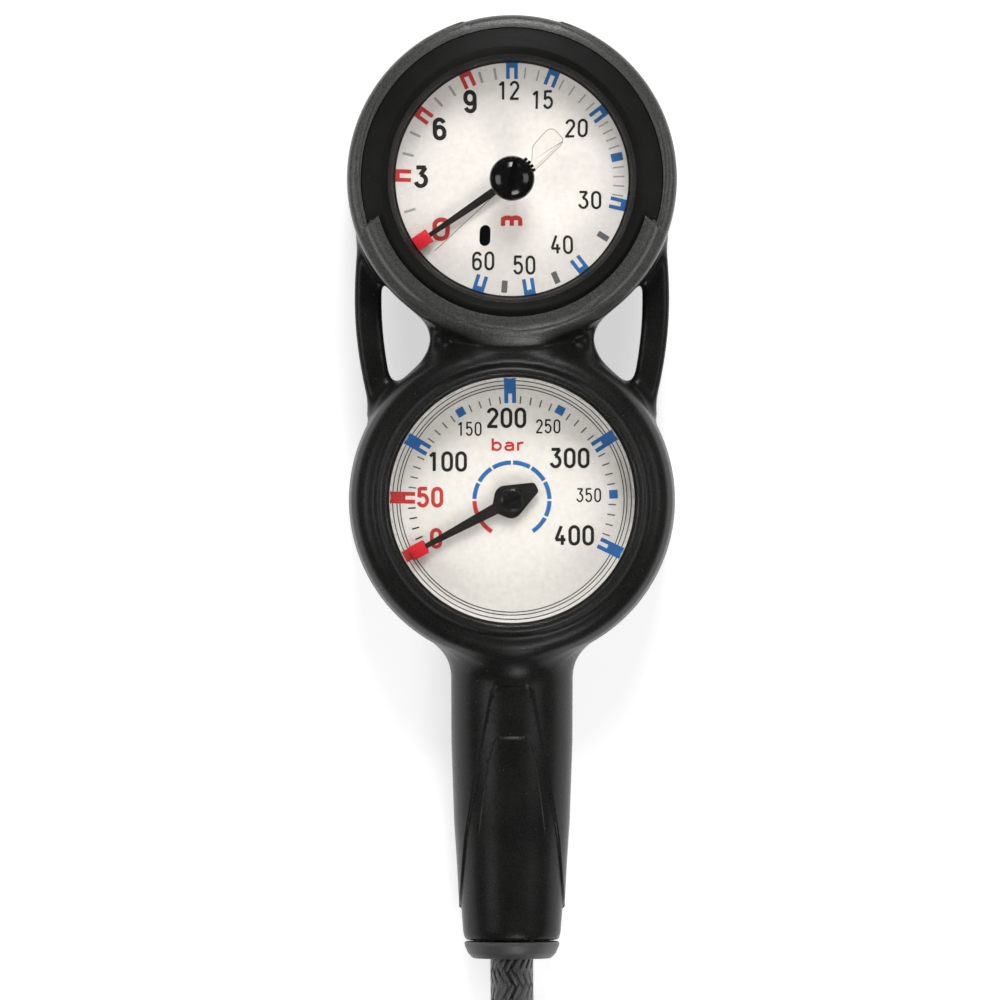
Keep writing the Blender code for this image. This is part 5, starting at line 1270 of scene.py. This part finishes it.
# %% Hexagon with chamfered corners, and the thread's core
hexagon = bmesh.new()
cylinder(hexagon, 9.2376, 8.0, 6)
swing(hexagon, hexagon.verts, 30.0)
shift(hexagon, hexagon.verts, 0.0, 0.0, 21.3)
lie_along(hexagon, FAR, FAR_HEIGHT)
fitting = piece("port_fitting", hexagon, CHROME, "hose", "first_stage_fitting")
CHAMFERS = [(0.0, 17.3), (8.3, 17.3), (9.3, 17.9), (9.3, 24.7), (8.3, 25.3), (0.0, 25.3)]
CORE = [(0.0, 24.3), (4.65, 24.3), (4.65, 26.9), (4.95, 27.2), (4.95, 34.8), (4.5, 35.3), (0.0, 35.3)]
BORE = [(0.0, 20.3), (1.8, 20.3), (1.8, 34.9), (2.3, 35.6), (0.0, 35.6)]
cut_away(fitting, turned(CHAMFERS, FAR, 96, FAR_HEIGHT), "INTERSECT")
cut_away(fitting, turned(CORE, FAR, 96, FAR_HEIGHT), "UNION")
cut_away(fitting, turned(BORE, FAR, 48, FAR_HEIGHT))
fitting.data.set_sharp_from_angle(angle=math.radians(25.0))

# %% The thread's ridge, a small profile spun and moved on at each step
ridge = bmesh.new()
THREAD_PITCH = 1.27
RIDGE = ((4.8, 27.1), (5.5, 27.5), (5.5, 27.7), (4.8, 28.1))
corners = [ridge.verts.new((r * MM, 0.0, z * MM)) for r, z in RIDGE]
sides = [ridge.edges.new(pair) for pair in zip(corners, corners[1:] + corners[:1])]
bmesh.ops.spin(ridge, geom=corners + sides, cent=(0, 0, 0), axis=(0, 0, 1),
               dvec=(0, 0, THREAD_PITCH / 48 * MM), angle=2 * math.pi * 5.5, steps=264, use_merge=False,
               use_duplicate=False)
close_ends(ridge)
lie_along(ridge, FAR, FAR_HEIGHT)
thread = piece("thread_ridge", ridge, CHROME, "hose")

# %% Seal in the groove
section = []
for i in range(12):
    angle = math.radians(30.0 * i)
    section.append((5.4 + 0.6 * math.cos(angle), 26.1 + 0.6 * math.sin(angle)))
port_ring = turned_piece("port_ring", section, 0, FAR, SEAL_RUBBER, "port_seal", "hose", 96, FAR_HEIGHT)

# %% Tie round the two turns
REACHED = (COIL_FIRST - 180.0) % 360.0 / 360.0
loops = []
tie_shape = bmesh.new()
for radius in (6.3, 5.5):
    ring_verts = []
    for turns, first in ((REACHED, 0.0), (REACHED + 1.0, 180.0)):
        middle = coil_point(turns)[0]
        for i in range(25):
            angle = math.radians(first + 7.5 * i)
            x = middle.x + radius * math.cos(angle)
            z = middle.z + radius * math.sin(angle)
            ring_verts.append(tie_shape.verts.new((x * MM, (COIL_MIDDLE.y - 4.0) * MM, z * MM)))
    loops += [tie_shape.edges.new(pair) for pair in zip(ring_verts, ring_verts[1:] + ring_verts[:1])]
bmesh.ops.bridge_loops(tie_shape, edges=loops)
extrude(tie_shape, list(tie_shape.faces), 0, 8.0, 0)
corners = [e for e in tie_shape.edges if e.calc_face_angle(0.0) > math.radians(60.0)]
bevel(tie_shape, corners, 0.22, 3)
tie = piece("coil_band", tie_shape, TIE_RUBBER, "hose", "coil_tie")

# %% [markdown]
# ## Finishes of the pieces that stay as they are
# The movements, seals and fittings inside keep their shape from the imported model. Each gets the
# finish of its slot.

# %% Finishes by slot
BY_SLOT = {
    "black_rubber": BOOT_RUBBER, "seal_rubber": SEAL_RUBBER, "black_plastic": CASE_PLASTIC,
    "pointer_black": POINTER_BLACK, "clear_plastic": LENS_PLASTIC, "glass": GAUGE_GLASS,
    "dial_white": DIAL_WHITE, "brass": BRASS, "bronze": BRONZE, "steel": STEEL, "chrome": CHROME,
    "hose_black": HOSE_BRAID,
}
for name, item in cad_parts.items():
    for place_in_list in item.material_slots:
        slot_name = place_in_list.material.name.split(".")[0]
        if slot_name in BY_SLOT:
            place_in_list.material = BY_SLOT[slot_name]
        else:
            print("no finish for", name, slot_name)
